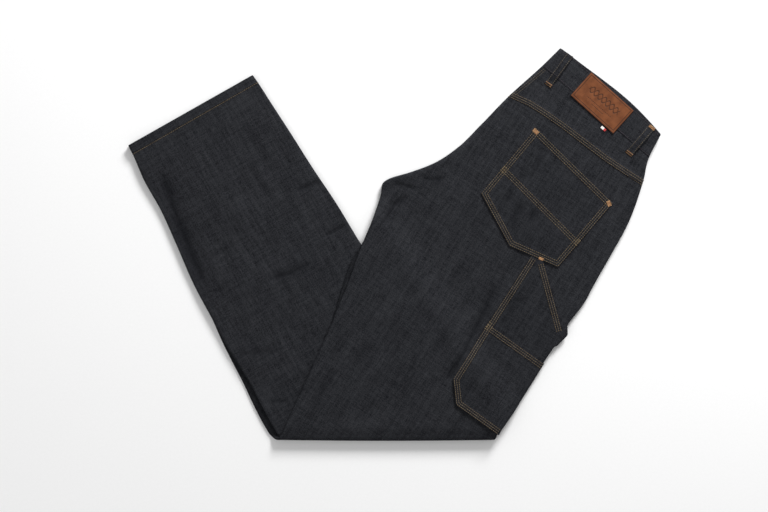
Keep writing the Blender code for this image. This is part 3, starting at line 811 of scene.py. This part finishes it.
ruler = cut_piece("cloth_ruler_pocket", ruler_run, FIRST, RULER, (4, 5), TOOL_CREASES, "ruler_pocket",
                  flare=ear, columns=slice(40, None))
tool_run = run_between(AT["opening_end"], knee_end, 2.4)
tool = cut_piece("cloth_tool_pocket", tool_run, 2 * FIRST, TOOL, (2, 3), TOOL_CREASES, "tool_pocket",
                 columns=slice(40, None))
print("pockets", [len(item.data.polygons) for item in (pocket, ruler, tool)])

# %% [markdown]
# ## Patch, tab and belt loops
#
# The patch is a thick piece of leather with cut edges. The belt loops are doubled strips, tacked
# at both ends and standing off the band between, so they throw a small shadow.

# %% Things sewn on the waistband
def caster(items):
    verts, polys = [], []
    for item in items:
        first = len(verts)
        verts += [v.co.copy() for v in item.data.vertices]
        polys += [[first + k for k in p.vertices] for p in item.data.polygons]
    return BVHTree.FromPolygons(verts, polys)


def height_at(tree, x, y, otherwise=0.01):
    hit = tree.ray_cast(Vector((x * MM, y * MM, 0.1)), Vector((0, 0, -1)))[0]
    return hit.z if hit else otherwise


def plate(name, origin, along, side, rows, columns, height_of, thickness, rim, warp, node=None):
    """A strip or plate laid on what is below, its edges rounded by a rim radius."""
    origin, along, side = (np.array(v, float) for v in (origin, along, side))
    length, width = np.linalg.norm(along), np.linalg.norm(side)
    close = np.array([0.0, 0.15, 0.5, 1.0]) * rim

    def spread(size, count):
        return np.concatenate([close, np.linspace(rim, size - rim, count)[1:-1], (size - close)[::-1]])

    outer, inner = [], []
    for a in spread(length, rows):
        out_row, in_row = [], []
        for b in spread(width, columns):
            p = origin + along * a / length + side * b / width
            edge = min(a, b, length - a, width - b, rim)
            fall = rim - math.sqrt(max(rim**2 - (rim - edge) ** 2, 0))
            base = height_of(p[0], p[1], a / length, b / width)
            out_row.append((p[0] * MM, p[1] * MM, base + (thickness - fall) * MM))
            in_row.append((p[0] * MM, p[1] * MM, base))
        outer.append(out_row)
        inner.append(in_row)
    item = shell_between(name, np.array(outer), np.array(inner), warp)
    local = item.data.uv_layers.new(name="local")
    co = np.array([item.data.vertices[loop.vertex_index].co[:2] for loop in item.data.loops]) / MM
    a = ((co - origin) @ along) / length
    b = ((co - origin) @ side) / width
    local.data.foreach_set("uv", (np.stack([a, b], 1) * MM).ravel())
    if node:
        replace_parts(item, node)
    shells.append(item)
    return item


below = caster([waistband, yoke, back_right])
p0, p1, p3 = np.array((257.0, 217.0)), np.array((319.0, 161.0)), np.array((287.0, 250.5))


def patch_height(x, y, a, b):
    corner = 0.5 * (abs(2 * a - 1) ** 5) * (abs(2 * b - 1) ** 5)
    return height_at(below, x, y, 0.0105) + (GAP + corner) * MM


patch = plate("leather_patch", p0, p1 - p0, p3 - p0, 30, 18, patch_height, 1.6, 0.5, THIGH_WARP, "patch")
shells.remove(patch)
tab = plate("patch_tab", (303.0, 172.6), (6.3, -5.9), (-2.6, -2.8), 4, 4,
            lambda x, y, a, b: height_at(below, x, y) + 0.25 * MM, 0.7, 0.2, THIGH_WARP)
shells.remove(tab)

LOOP_WIDTH, LOOP_LIFT, LOOP_TACK = 12.4, 2.6, 0.13
LOOPS = [("belt_loop_centre", (256.2, 276.0), (224, 232)), ("belt_loop_side", (376.2, 172.0), (342, 132))]
loops = []
for node, start, end in LOOPS:
    start, end = np.array(start, float), np.array(end, float)
    way = (end - start) / np.linalg.norm(end - start)
    side = np.array((-way[1], way[0])) * LOOP_WIDTH

    def loop_height(x, y, a, b):
        free = min(max((a - LOOP_TACK) / (1 - 2 * LOOP_TACK), 0), 1)
        flat = [height_at(below, *(start + (end - start) * a + side * s)) for s in (-0.4, 0.0, 0.4)]
        crown = 0.25 * (1 - (2 * b - 1) ** 4)
        return max(flat) + (GAP + LOOP_LIFT * math.sin(math.pi * free) ** 0.8 + crown) * MM

    loops.append(plate("cloth_" + node, start - side / 2, end - start, side, 26, 10, loop_height, 1.6, 0.7,
                       way, node))
print("patch", len(patch.data.polygons), "faces, loops", [len(item.data.polygons) for item in loops])

# %% [markdown]
# ## Thread
#
# The seams are sewn in rows of tobacco-gold thread, three rows side by side on the work seams.
# A stitch is a short, fat strand that sinks into the cloth at both ends. One small node tree
# walks along every seam line and sets a strand at each step, with a little unevenness.

# %% Seam lines
def inner_lines(outline, sides, offset, start_gap=1.5, end_gap=1.5):
    """The outline's given sides, moved inward, as one polyline with mitred corners."""
    lines = []
    for k in sides:
        (x0, y0), (x1, y1) = outline[k], outline[(k + 1) % len(outline)]
        length = math.hypot(x1 - x0, y1 - y0)
        inward = np.array((y1 - y0, -(x1 - x0))) / length
        lines.append((np.array((x0, y0)) + inward * offset, np.array((x1 - x0, y1 - y0)) / length, length))
    points = [lines[0][0] + lines[0][1] * start_gap]
    for (a, da, _), (b, db, _) in zip(lines, lines[1:]):
        t = np.cross(b - a, db) / np.cross(da, db)
        points.append(a + da * t)
    points.append(lines[-1][0] + lines[-1][1] * (lines[-1][2] - end_gap))
    return [tuple(p) for p in points]


def offset_line(line, offset):
    line = np.array(line, float)
    way = np.gradient(line, axis=0)
    way /= np.linalg.norm(way, axis=1)[:, None]
    return [tuple(p) for p in line + np.stack([-way[:, 1], way[:, 0]], 1) * offset]


ROWS, MIDDLE_ROWS, LOOP_THREAD = (1.5, 4.8, 8.1), (-3.3, 0.0, 3.3), 4.2
gold, tonal, shaded_gold = [], [], []
for offset in MIDDLE_ROWS:
    gold.append(offset_line(YOKE_LINE, offset))
for offset in ROWS:
    gold.append(inner_lines(POCKET, (0,), offset, 2.0, 2.0))
    gold.append(inner_lines(POCKET, (1, 2, 3, 4), offset, 2.0, 2.0))
    gold.append(inner_lines(RULER, (1,), offset, 4.0, 1.0))
    gold.append(inner_lines(TOOL, (0,), offset, 1.5, 1.0))
for offset in ROWS:
    gold.append(inner_lines(RULER, (8,), offset, 92.0, 3.0))
    gold.append(inner_lines(TOOL, (4, 5, 6), offset, 1.0, 1.5))
band_a, band_b = np.array((157.6, 110.2)), np.array((266.6, 1.2))
for offset in MIDDLE_ROWS:
    aside = np.array((band_b - band_a)[::-1] * (1, -1)) / np.linalg.norm(band_b - band_a) * offset
    gold.append([tuple(band_a + aside), tuple(band_b + aside)])
for cross_at in ((159.5, 108.5), (266.5, 2.5), (137.5, -118.5)):
    for aside in (-2.0, 0.0, 2.0):
        gold.append([(cross_at[0] - 2.6 + aside * 0.7, cross_at[1] - 3.2 - aside * 0.7),
                     (cross_at[0] + 2.6 + aside * 0.7, cross_at[1] + 3.2 - aside * 0.7)])
# The centre-back rows, the row on the shin's under edge and the belt loops' edge rows use a darker copy of the
# gold thread: painted shade for rows that run along the light and for the row in the groove.
for offset in (-2.0, -5.0):
    shaded_gold.append(offset_line([(216, 256.5), (200, 243), (186, 231.5), (171, 219.5)], -offset))
gold.append([(-383.2, 130.6), (-198.2, 236.6)])
shaded_gold.append([(-262, -120), (-250, -141), (-214, -210), (-185, -267)])
tonal.append(offset_line([(220, 256.5), (369, 128.8)], 1.6))
tonal.append(offset_line([(247, 281), (266, 268.5), (288, 248), (353, 193.5), (371, 178), (385, 161.5)],
                         -1.6))
# The belt loops' edge rows take the darker, painted-shade copy of the gold thread.
for _, start, end in LOOPS:
    for offset in (-LOOP_THREAD, LOOP_THREAD):
        shaded_gold.append(offset_line([start, end], offset))
print(len(gold), "gold rows,", len(tonal), "tonal rows")

# %% The stitch tree
def stitch_tree(material):
    tree = bpy.data.node_groups.new("stitches", "GeometryNodeTree")
    tree.interface.new_socket("Geometry", in_out="INPUT", socket_type="NodeSocketGeometry")
    for name, value in (("Pitch", 0.0032), ("Length", 0.0030), ("Radius", 0.00045), ("Unevenness", 0.1)):
        socket = tree.interface.new_socket(name, in_out="INPUT", socket_type="NodeSocketFloat")
        socket.default_value = value
    tree.interface.new_socket("Geometry", in_out="OUTPUT", socket_type="NodeSocketGeometry")

    def node(kind, settings=None, **values):
        made = tree.nodes.new(kind)
        for key, value in (settings or {}).items():
            setattr(made, key, value)
        for key, value in values.items():
            socket = made.inputs[key.replace("_", " ")]
            if isinstance(value, bpy.types.NodeSocket):
                tree.links.new(value, socket)
            else:
                socket.default_value = value
        return made

    given = node("NodeGroupInput").outputs
    curve = node("GeometryNodeMeshToCurve", Mesh=given["Geometry"])
    points = node("GeometryNodeCurveToPoints", {"mode": "LENGTH"}, Curve=curve.outputs[0],
                  Length=given["Pitch"])
    wander = node("FunctionNodeRandomValue", {"data_type": "FLOAT_VECTOR"}, Seed=7)
    wander.inputs["Min"].default_value = (-1, -1, -1)
    wander.inputs["Max"].default_value = (1, 1, 1)
    shift = node("ShaderNodeVectorMath", {"operation": "SCALE"}, Vector=wander.outputs[0],
                 Scale=given["Unevenness"])
    heading = node("ShaderNodeVectorMath", {"operation": "ADD"})
    tree.links.new(points.outputs["Tangent"], heading.inputs[0])
    tree.links.new(shift.outputs[0], heading.inputs[1])
    turn = node("FunctionNodeAlignRotationToVector", {"axis": "X"}, Vector=heading.outputs[0])
    half = node("ShaderNodeMath", {"operation": "MULTIPLY"})
    tree.links.new(given["Length"], half.inputs[0])
    half.inputs[1].default_value = 0.5
    size = node("ShaderNodeCombineXYZ", X=half.outputs[0], Y=given["Radius"], Z=given["Radius"])
    ball = node("GeometryNodeMeshUVSphere", Segments=6, Rings=5, Radius=1.0)
    placed = node("GeometryNodeInstanceOnPoints", Points=points.outputs["Points"],
                  Instance=ball.outputs["Mesh"], Rotation=turn.outputs[0], Scale=size.outputs[0])
    real = node("GeometryNodeRealizeInstances", Geometry=placed.outputs[0])
    smooth = node("GeometryNodeSetShadeSmooth", Geometry=real.outputs[0])
    painted = node("GeometryNodeSetMaterial", Geometry=smooth.outputs[0], Material=material)
    out = tree.nodes.new("NodeGroupOutput")
    tree.links.new(painted.outputs[0], out.inputs[0])
    return tree


def sew(name, lines, tree, surface, raise_by, **inputs):
    verts, edges = [], []
    for line in lines:
        line = np.array(line, float)
        lengths = np.linalg.norm(np.diff(line, axis=0), axis=1)
        at = np.concatenate([[0], np.cumsum(lengths)])
        where = np.linspace(0, at[-1], max(int(at[-1] / 1.5), 2))
        first = len(verts)
        for x, y in zip(np.interp(where, at, line[:, 0]), np.interp(where, at, line[:, 1])):
            hit = surface.ray_cast(Vector((x * MM, y * MM, 0.1)), Vector((0, 0, -1)))[0]
            if hit:
                verts.append((x * MM, y * MM, hit.z + raise_by))
        edges += [(k, k + 1) for k in range(first, len(verts) - 1)]
    mesh = bpy.data.meshes.new(name)
    mesh.from_pydata(verts, edges, [])
    item = add(name, mesh)
    modifier = item.modifiers.new("stitches", "NODES")
    modifier.node_group = tree
    for socket in tree.interface.items_tree:
        if socket.in_out == "INPUT" and socket.name in inputs:
            modifier[socket.identifier] = inputs[socket.name]
    print(name, len(evaluated_mesh(item).polygons), "faces")
    return item


# %% [markdown]
# ## Materials
#
# A small helper wraps a shader socket so that the arithmetic of a pattern reads like arithmetic.

# %% Shader helper
class Wire:
    """A value in a shader graph."""

    def __init__(self, graph, socket):
        self.graph, self.socket = graph, socket

    def _with(self, operation, other, swap=False):
        a, b = (other, self) if swap else (self, other)
        return self.graph.math(operation, a, b)

    def __add__(self, other): return self._with("ADD", other)
    def __radd__(self, other): return self._with("ADD", other, True)
    def __sub__(self, other): return self._with("SUBTRACT", other)
    def __rsub__(self, other): return self._with("SUBTRACT", other, True)
    def __mul__(self, other): return self._with("MULTIPLY", other)
    def __rmul__(self, other): return self._with("MULTIPLY", other, True)

    def sine(self): return self.graph.math("SINE", self)
    def size(self): return self.graph.math("ABSOLUTE", self)
    def least(self, other): return self._with("MINIMUM", other)
    def most(self, other): return self._with("MAXIMUM", other)

    def step(self, low, high):
        made = self.graph.node("ShaderNodeMapRange", {"interpolation_type": "SMOOTHSTEP"},
                               {"Value": self, "From Min": low, "From Max": high})
        return Wire(self.graph, made.outputs["Result"])


class Graph:
    """A material's node tree with its Principled shader."""

    def __init__(self, name):
        self.material = bpy.data.materials.new(name)
        self.material.use_nodes = True
        self.tree = self.material.node_tree
        self.shader = self.tree.nodes["Principled BSDF"]

    def plug(self, value, socket):
        if isinstance(value, Wire):
            self.tree.links.new(value.socket, socket)
        elif value is not None:
            socket.default_value = value

    def node(self, kind, settings=None, sockets=None):
        made = self.tree.nodes.new(kind)
        for key, value in (settings or {}).items():
            setattr(made, key, value)
        for key, value in (sockets or {}).items():
            self.plug(value, made.inputs[key])
        return made

    def math(self, operation, *values):
        made = self.node("ShaderNodeMath", {"operation": operation})
        for value, socket in zip(values, made.inputs):
            self.plug(value, socket)
        return Wire(self, made.outputs[0])

    def vector(self, operation, *values):
        made = self.node("ShaderNodeVectorMath", {"operation": operation})
        for value, socket in zip(values, made.inputs):
            self.plug(value, socket)
        return Wire(self, made.outputs[0])

    def mix(self, factor, first, second):
        made = self.node("ShaderNodeMix", {"data_type": "RGBA"})
        for name, value in (("Factor_Float", factor), ("A_Color", first), ("B_Color", second)):
            socket = next(s for s in made.inputs if s.identifier == name)
            self.plug(value, socket)
        return Wire(self, next(s for s in made.outputs if s.identifier == "Result_Color"))

    def noise(self, vector, scale, detail=2.0):
        made = self.node("ShaderNodeTexNoise", None, {"Vector": vector, "Scale": scale, "Detail": detail})
        return Wire(self, made.outputs["Fac"])

    def uv(self, name="cloth"):
        return Wire(self, self.node("ShaderNodeUVMap", {"uv_map": name}).outputs["UV"])

    def parts(self, vector):
        made = self.node("ShaderNodeSeparateXYZ", None, {"Vector": vector})
        return Wire(self, made.outputs["X"]), Wire(self, made.outputs["Y"])

    def bump(self, height, distance, strength=1.0):
        made = self.node("ShaderNodeBump", None,
                         {"Height": height, "Distance": distance, "Strength": strength})
        self.plug(Wire(self, made.outputs["Normal"]), self.shader.inputs["Normal"])


# %% [markdown]
# Raw denim is a right-hand twill: dark blue warp over pale weft, so the face is nearly black
# with pale flecks. Slubs run along the warp. The cloth is matt, with a faint lint sheen.

# %% Denim, leather and thread
PATCH_LENGTH, PATCH_HEIGHT = 83.5, 45.0
TWILL_PITCH, END_PITCH = 0.00115, 0.00055


def denim(name, dark, light, fleck=0.5):
    g = Graph(name)
    place_uv = g.uv()
    u, v = g.parts(place_uv)
    twill = ((u + v) * (2 * math.pi / TWILL_PITCH)).sine() * 0.5 + 0.5
    warp = (u * (2 * math.pi / END_PITCH)).sine() * 0.5 + 0.5
    slub = g.noise(g.vector("MULTIPLY", place_uv, (980.0, 85.0, 1.0)), 1.0, 3.0)
    cross = g.noise(g.vector("MULTIPLY", place_uv, (95.0, 900.0, 1.0)), 1.0, 2.0)
    specks = g.noise(g.vector("MULTIPLY", place_uv, (900.0, 640.0, 1.0)), 1.0, 2.0)
    mottle = g.noise(g.vector("MULTIPLY", place_uv, (48.0, 22.0, 1.0)), 1.0, 4.0)
    ends = g.noise(g.vector("MULTIPLY", place_uv, (250.0, 15.0, 1.0)), 1.0, 2.0)
    picks = g.noise(g.vector("MULTIPLY", place_uv, (15.0, 250.0, 1.0)), 1.0, 2.0)
    shade = (slub.step(0.3, 0.72) * 0.26 + specks.step(0.34, 0.68) * fleck + mottle.step(0.25, 0.8) * 0.12
             + twill * 0.06 + cross.step(0.34, 0.72) * 0.2 + ends.step(0.36, 0.66) * 0.15
             + picks.step(0.36, 0.66) * 0.12)
    # Painted shade: the colour darkens with the crease-depth attribute, where the creases lie in shade.
    painted_crease_shade = Wire(g, g.node("ShaderNodeAttribute", {"attribute_name": "painted_crease_shade"}).outputs["Fac"])
    g.plug(g.mix((shade - 0.24) * 0.94 * (1.0 - painted_crease_shade * 0.55), dark, light), g.shader.inputs["Base Color"])
    g.plug(0.94 - slub * 0.12, g.shader.inputs["Roughness"])
    g.bump(twill * 0.55 + warp * 0.15 + slub * 0.5 + specks * 0.45, 0.00022, 0.8)
    g.shader.inputs["Specular IOR Level"].default_value = 0.06
    g.shader.inputs["Sheen Weight"].default_value = 0.03
    g.shader.inputs["Sheen Roughness"].default_value = 0.45
    g.shader.inputs["Sheen Tint"].default_value = (0.5, 0.56, 0.72, 1.0)
    return g.material


def leather():
    g = Graph("patch_leather")
    place_uv = g.uv("local")
    u, v = g.parts(place_uv)
    u, v = u * 1000.0, v * 1000.0
    grain = g.noise(g.vector("MULTIPLY", place_uv, (900.0, 900.0, 1.0)), 1.0, 4.0)
    cloud = g.noise(g.vector("MULTIPLY", place_uv, (90.0, 70.0, 1.0)), 1.0, 3.0)
    to_edge = u.least(PATCH_LENGTH - u).least(v).least(PATCH_HEIGHT - v)
    border = (to_edge - 3.0).size().step(0.75, 0.35)
    wave = (v - 27.0 - (u * 0.42).sine() * 4.6).size().step(1.5, 0.7)
    wave = wave.most((v - 27.0 + (u * 0.42).sine() * 4.6).size().step(1.5, 0.7))
    wave = wave * u.step(13.0, 15.0) * (u * -1.0).step(-70.5, -68.5)
    rule = (v - 15.0).size().step(0.8, 0.35) * ((u * 2.1).sine()).step(-0.5, 0.1)
    rule = rule * u.step(18.0, 20.0) * (u * -1.0).step(-66.0, -64.0)
    second = (v - 10.5).size().step(0.6, 0.25) * u.step(30.0, 31.5) * (u * -1.0).step(-54.0, -52.5)
    mark = border.most(wave).most(rule).most(second)
    edge = to_edge.step(1.4, 0.1)
    tan = g.mix(cloud.step(0.3, 0.7), (0.105, 0.032, 0.011, 1), (0.170, 0.056, 0.020, 1))
    tan = g.mix(grain.step(0.35, 0.75) * 0.35, tan, (0.205, 0.075, 0.029, 1))
    inked = g.mix(mark * 0.72, tan, (0.04, 0.017, 0.01, 1))
    g.plug(g.mix(edge * 0.6, inked, (0.06, 0.022, 0.012, 1)), g.shader.inputs["Base Color"])
    g.plug(0.5 + grain * 0.25, g.shader.inputs["Roughness"])
    g.bump(grain * 0.25 - mark * 1.0, 0.0004, 0.9)
    g.shader.inputs["Specular IOR Level"].default_value = 0.16
    return g.material


def thread(name, colour, deep):
    g = Graph(name)
    spot = Wire(g, g.node("ShaderNodeTexCoord").outputs["Object"])
    tone = g.noise(spot, 260.0, 3.0)
    strand = g.noise(g.vector("MULTIPLY", spot, (5200.0, 5200.0, 5200.0)), 1.0, 1.0)
    g.plug(g.mix(tone.step(0.3, 0.7), deep, colour), g.shader.inputs["Base Color"])
    g.plug(0.6 + strand * 0.2, g.shader.inputs["Roughness"])
    g.bump(strand, 0.00008, 0.8)
    g.shader.inputs["Specular IOR Level"].default_value = 0.25
    g.shader.inputs["Sheen Weight"].default_value = 0.15
    return g.material


body_denim = denim("denim", (0.0042, 0.0046, 0.0062, 1), (0.044, 0.0455, 0.051, 1))
piece_denim = denim("denim_pieces", (0.0038, 0.0042, 0.0056, 1), (0.0405, 0.042, 0.0475, 1))
patch_leather = leather()
gold_thread = thread("thread_gold", (0.185, 0.134, 0.070, 1), (0.088, 0.062, 0.035, 1))
# A darker copy of the gold thread: painted shade for rows that run along the light or lie in the groove.
shaded_gold_thread = thread("thread_gold_painted_shade", (0.115, 0.088, 0.052, 1), (0.055, 0.045, 0.032, 1))
tonal_thread = thread("thread_tonal", (0.05, 0.036, 0.046, 1), (0.024, 0.02, 0.026, 1))
tack_thread = thread("thread_tacks", (0.50, 0.29, 0.14, 1), (0.26, 0.12, 0.05, 1))
# A darker copy of the denim for the hidden layers' edges: painted shade for the groove between the leg tubes.
shaded_layer_denim = denim("denim_layers_painted_shade", (0.0034, 0.0037, 0.005, 1), (0.027, 0.028, 0.0315, 1))
layers.data.materials.append(shaded_layer_denim)
body_pieces = (back_right, yoke, back_left, waistband, hem_left, hem_right)
for item in body_pieces:
    item.data.materials.append(body_denim)
for item in (pocket, ruler, tool, *loops):
    item.data.materials.append(piece_denim)
patch.data.materials.append(patch_leather)

# %% [markdown]
# The tab is a scrap of woven label tape, half white and half red.

# %% Tab material
g = Graph("tab_tape")
along, _ = g.parts(g.uv("local"))
weave = g.noise(g.vector("MULTIPLY", g.uv("local"), (3000.0, 3000.0, 1.0)), 1.0, 1.0)
halves = g.mix(along.step(0.0049, 0.0052), (0.75, 0.73, 0.7, 1), (0.42, 0.03, 0.03, 1))
g.plug(halves, g.shader.inputs["Base Color"])
g.plug(0.7 + weave * 0.2, g.shader.inputs["Roughness"])
g.bump(weave, 0.0001)
tab.data.materials.append(g.material)

# %% [markdown]
# Sewing needs the finished surfaces below it. The bar tacks are short, dense bars of brighter
# thread at the pocket corners and at both ends of each belt loop.

# %% Sew the seams and the bar tacks
surface = caster(shells)
threads = [sew("stitches_gold", gold, stitch_tree(gold_thread), surface, 0.00012),
           sew("stitches_tonal", tonal, stitch_tree(tonal_thread), surface, 0.00008, Radius=0.0004),
           sew("stitches_gold_painted_shade", shaded_gold, stitch_tree(shaded_gold_thread), surface, 0.0001, Radius=0.00042)]
TACKS = [((203, 167), (209, 161), 3.6), ((311.5, 62.5), (314, 55.5), 3.6), ((211, -20.5), (217, -23), 1.8),
         ((220.5, 236), (228.5, 230.2), 2.4), ((338.5, 135.5), (346.5, 129.2), 2.4),
         ((252.6, 277.4), (259.8, 272.2), 2.2), ((371.8, 172.6), (379, 166.8), 2.2)]
bars = []
for start, end, width in TACKS:
    start, end = np.array(start, float), np.array(end, float)
    way = (end - start) / np.linalg.norm(end - start)
    aside = np.array((-way[1], way[0])) * width / 2
    for step in np.linspace(0, 1, 12):
        spot = start + (end - start) * step
        bars.append([tuple(spot - aside), tuple(spot + aside)])
surface = caster(shells)
threads.append(sew("bar_tacks", bars, stitch_tree(tack_thread), surface, 0.0002, Pitch=0.0017, Length=0.0026,
                   Radius=0.00042))

# %% [markdown]


# %% [markdown]
# ## Floor, light and camera
#
# The trousers lie on a pale sheet under a soft light from the upper right, as in a product
# photograph, and the camera looks straight down through a long lens.

# %% Stage
world = bpy.data.worlds.new("studio")
world.use_nodes = True
world.node_tree.nodes["Background"].inputs["Color"].default_value = (1.0, 1.0, 1.0, 1.0)
world.node_tree.nodes["Background"].inputs["Strength"].default_value = 0.42
bpy.context.scene.world = world

g = Graph("floor_paper")
fibre = g.noise(Wire(g, g.node("ShaderNodeTexCoord").outputs["Object"]), 300.0, 3.0)
g.plug(g.mix(fibre, (0.88, 0.88, 0.88, 1), (0.92, 0.92, 0.92, 1)), g.shader.inputs["Base Color"])
g.shader.inputs["Roughness"].default_value = 0.9
floor_mesh = bpy.data.meshes.new("floor")
floor_mesh.from_pydata([(-4, -4, 0), (4, -4, 0), (4, 4, 0), (-4, 4, 0)], [], [(0, 1, 2, 3)])
floor = add("floor", floor_mesh)
floor_mesh.materials.append(g.material)


def area_light(name, at, size, power):
    light = bpy.data.lights.new(name, "AREA")
    light.shape, light.size, light.energy = "SQUARE", size, power
    item = add(name, light)
    item.location = at
    item.rotation_euler = (-Vector(at)).to_track_quat("-Z", "Y").to_euler()


area_light("key", (1.15, 2.25, 1.35), 0.9, 112.0)
area_light("fill", (-1.9, -1.2, 2.4), 2.0, 16.0)
camera_data = bpy.data.cameras.new("camera")
camera_data.sensor_width, camera_data.lens = 36.0, 83.5
camera = add("camera", camera_data)
camera.location = (-0.0153, -0.0175, 2.61)
bpy.context.scene.camera = camera
bpy.context.scene.view_settings.view_transform = "Standard"

# %% Attach the pieces to the root body
for item in (*body_pieces, layers, pocket, ruler, tool, patch, tab, *loops, *threads):
    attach(item, "root")
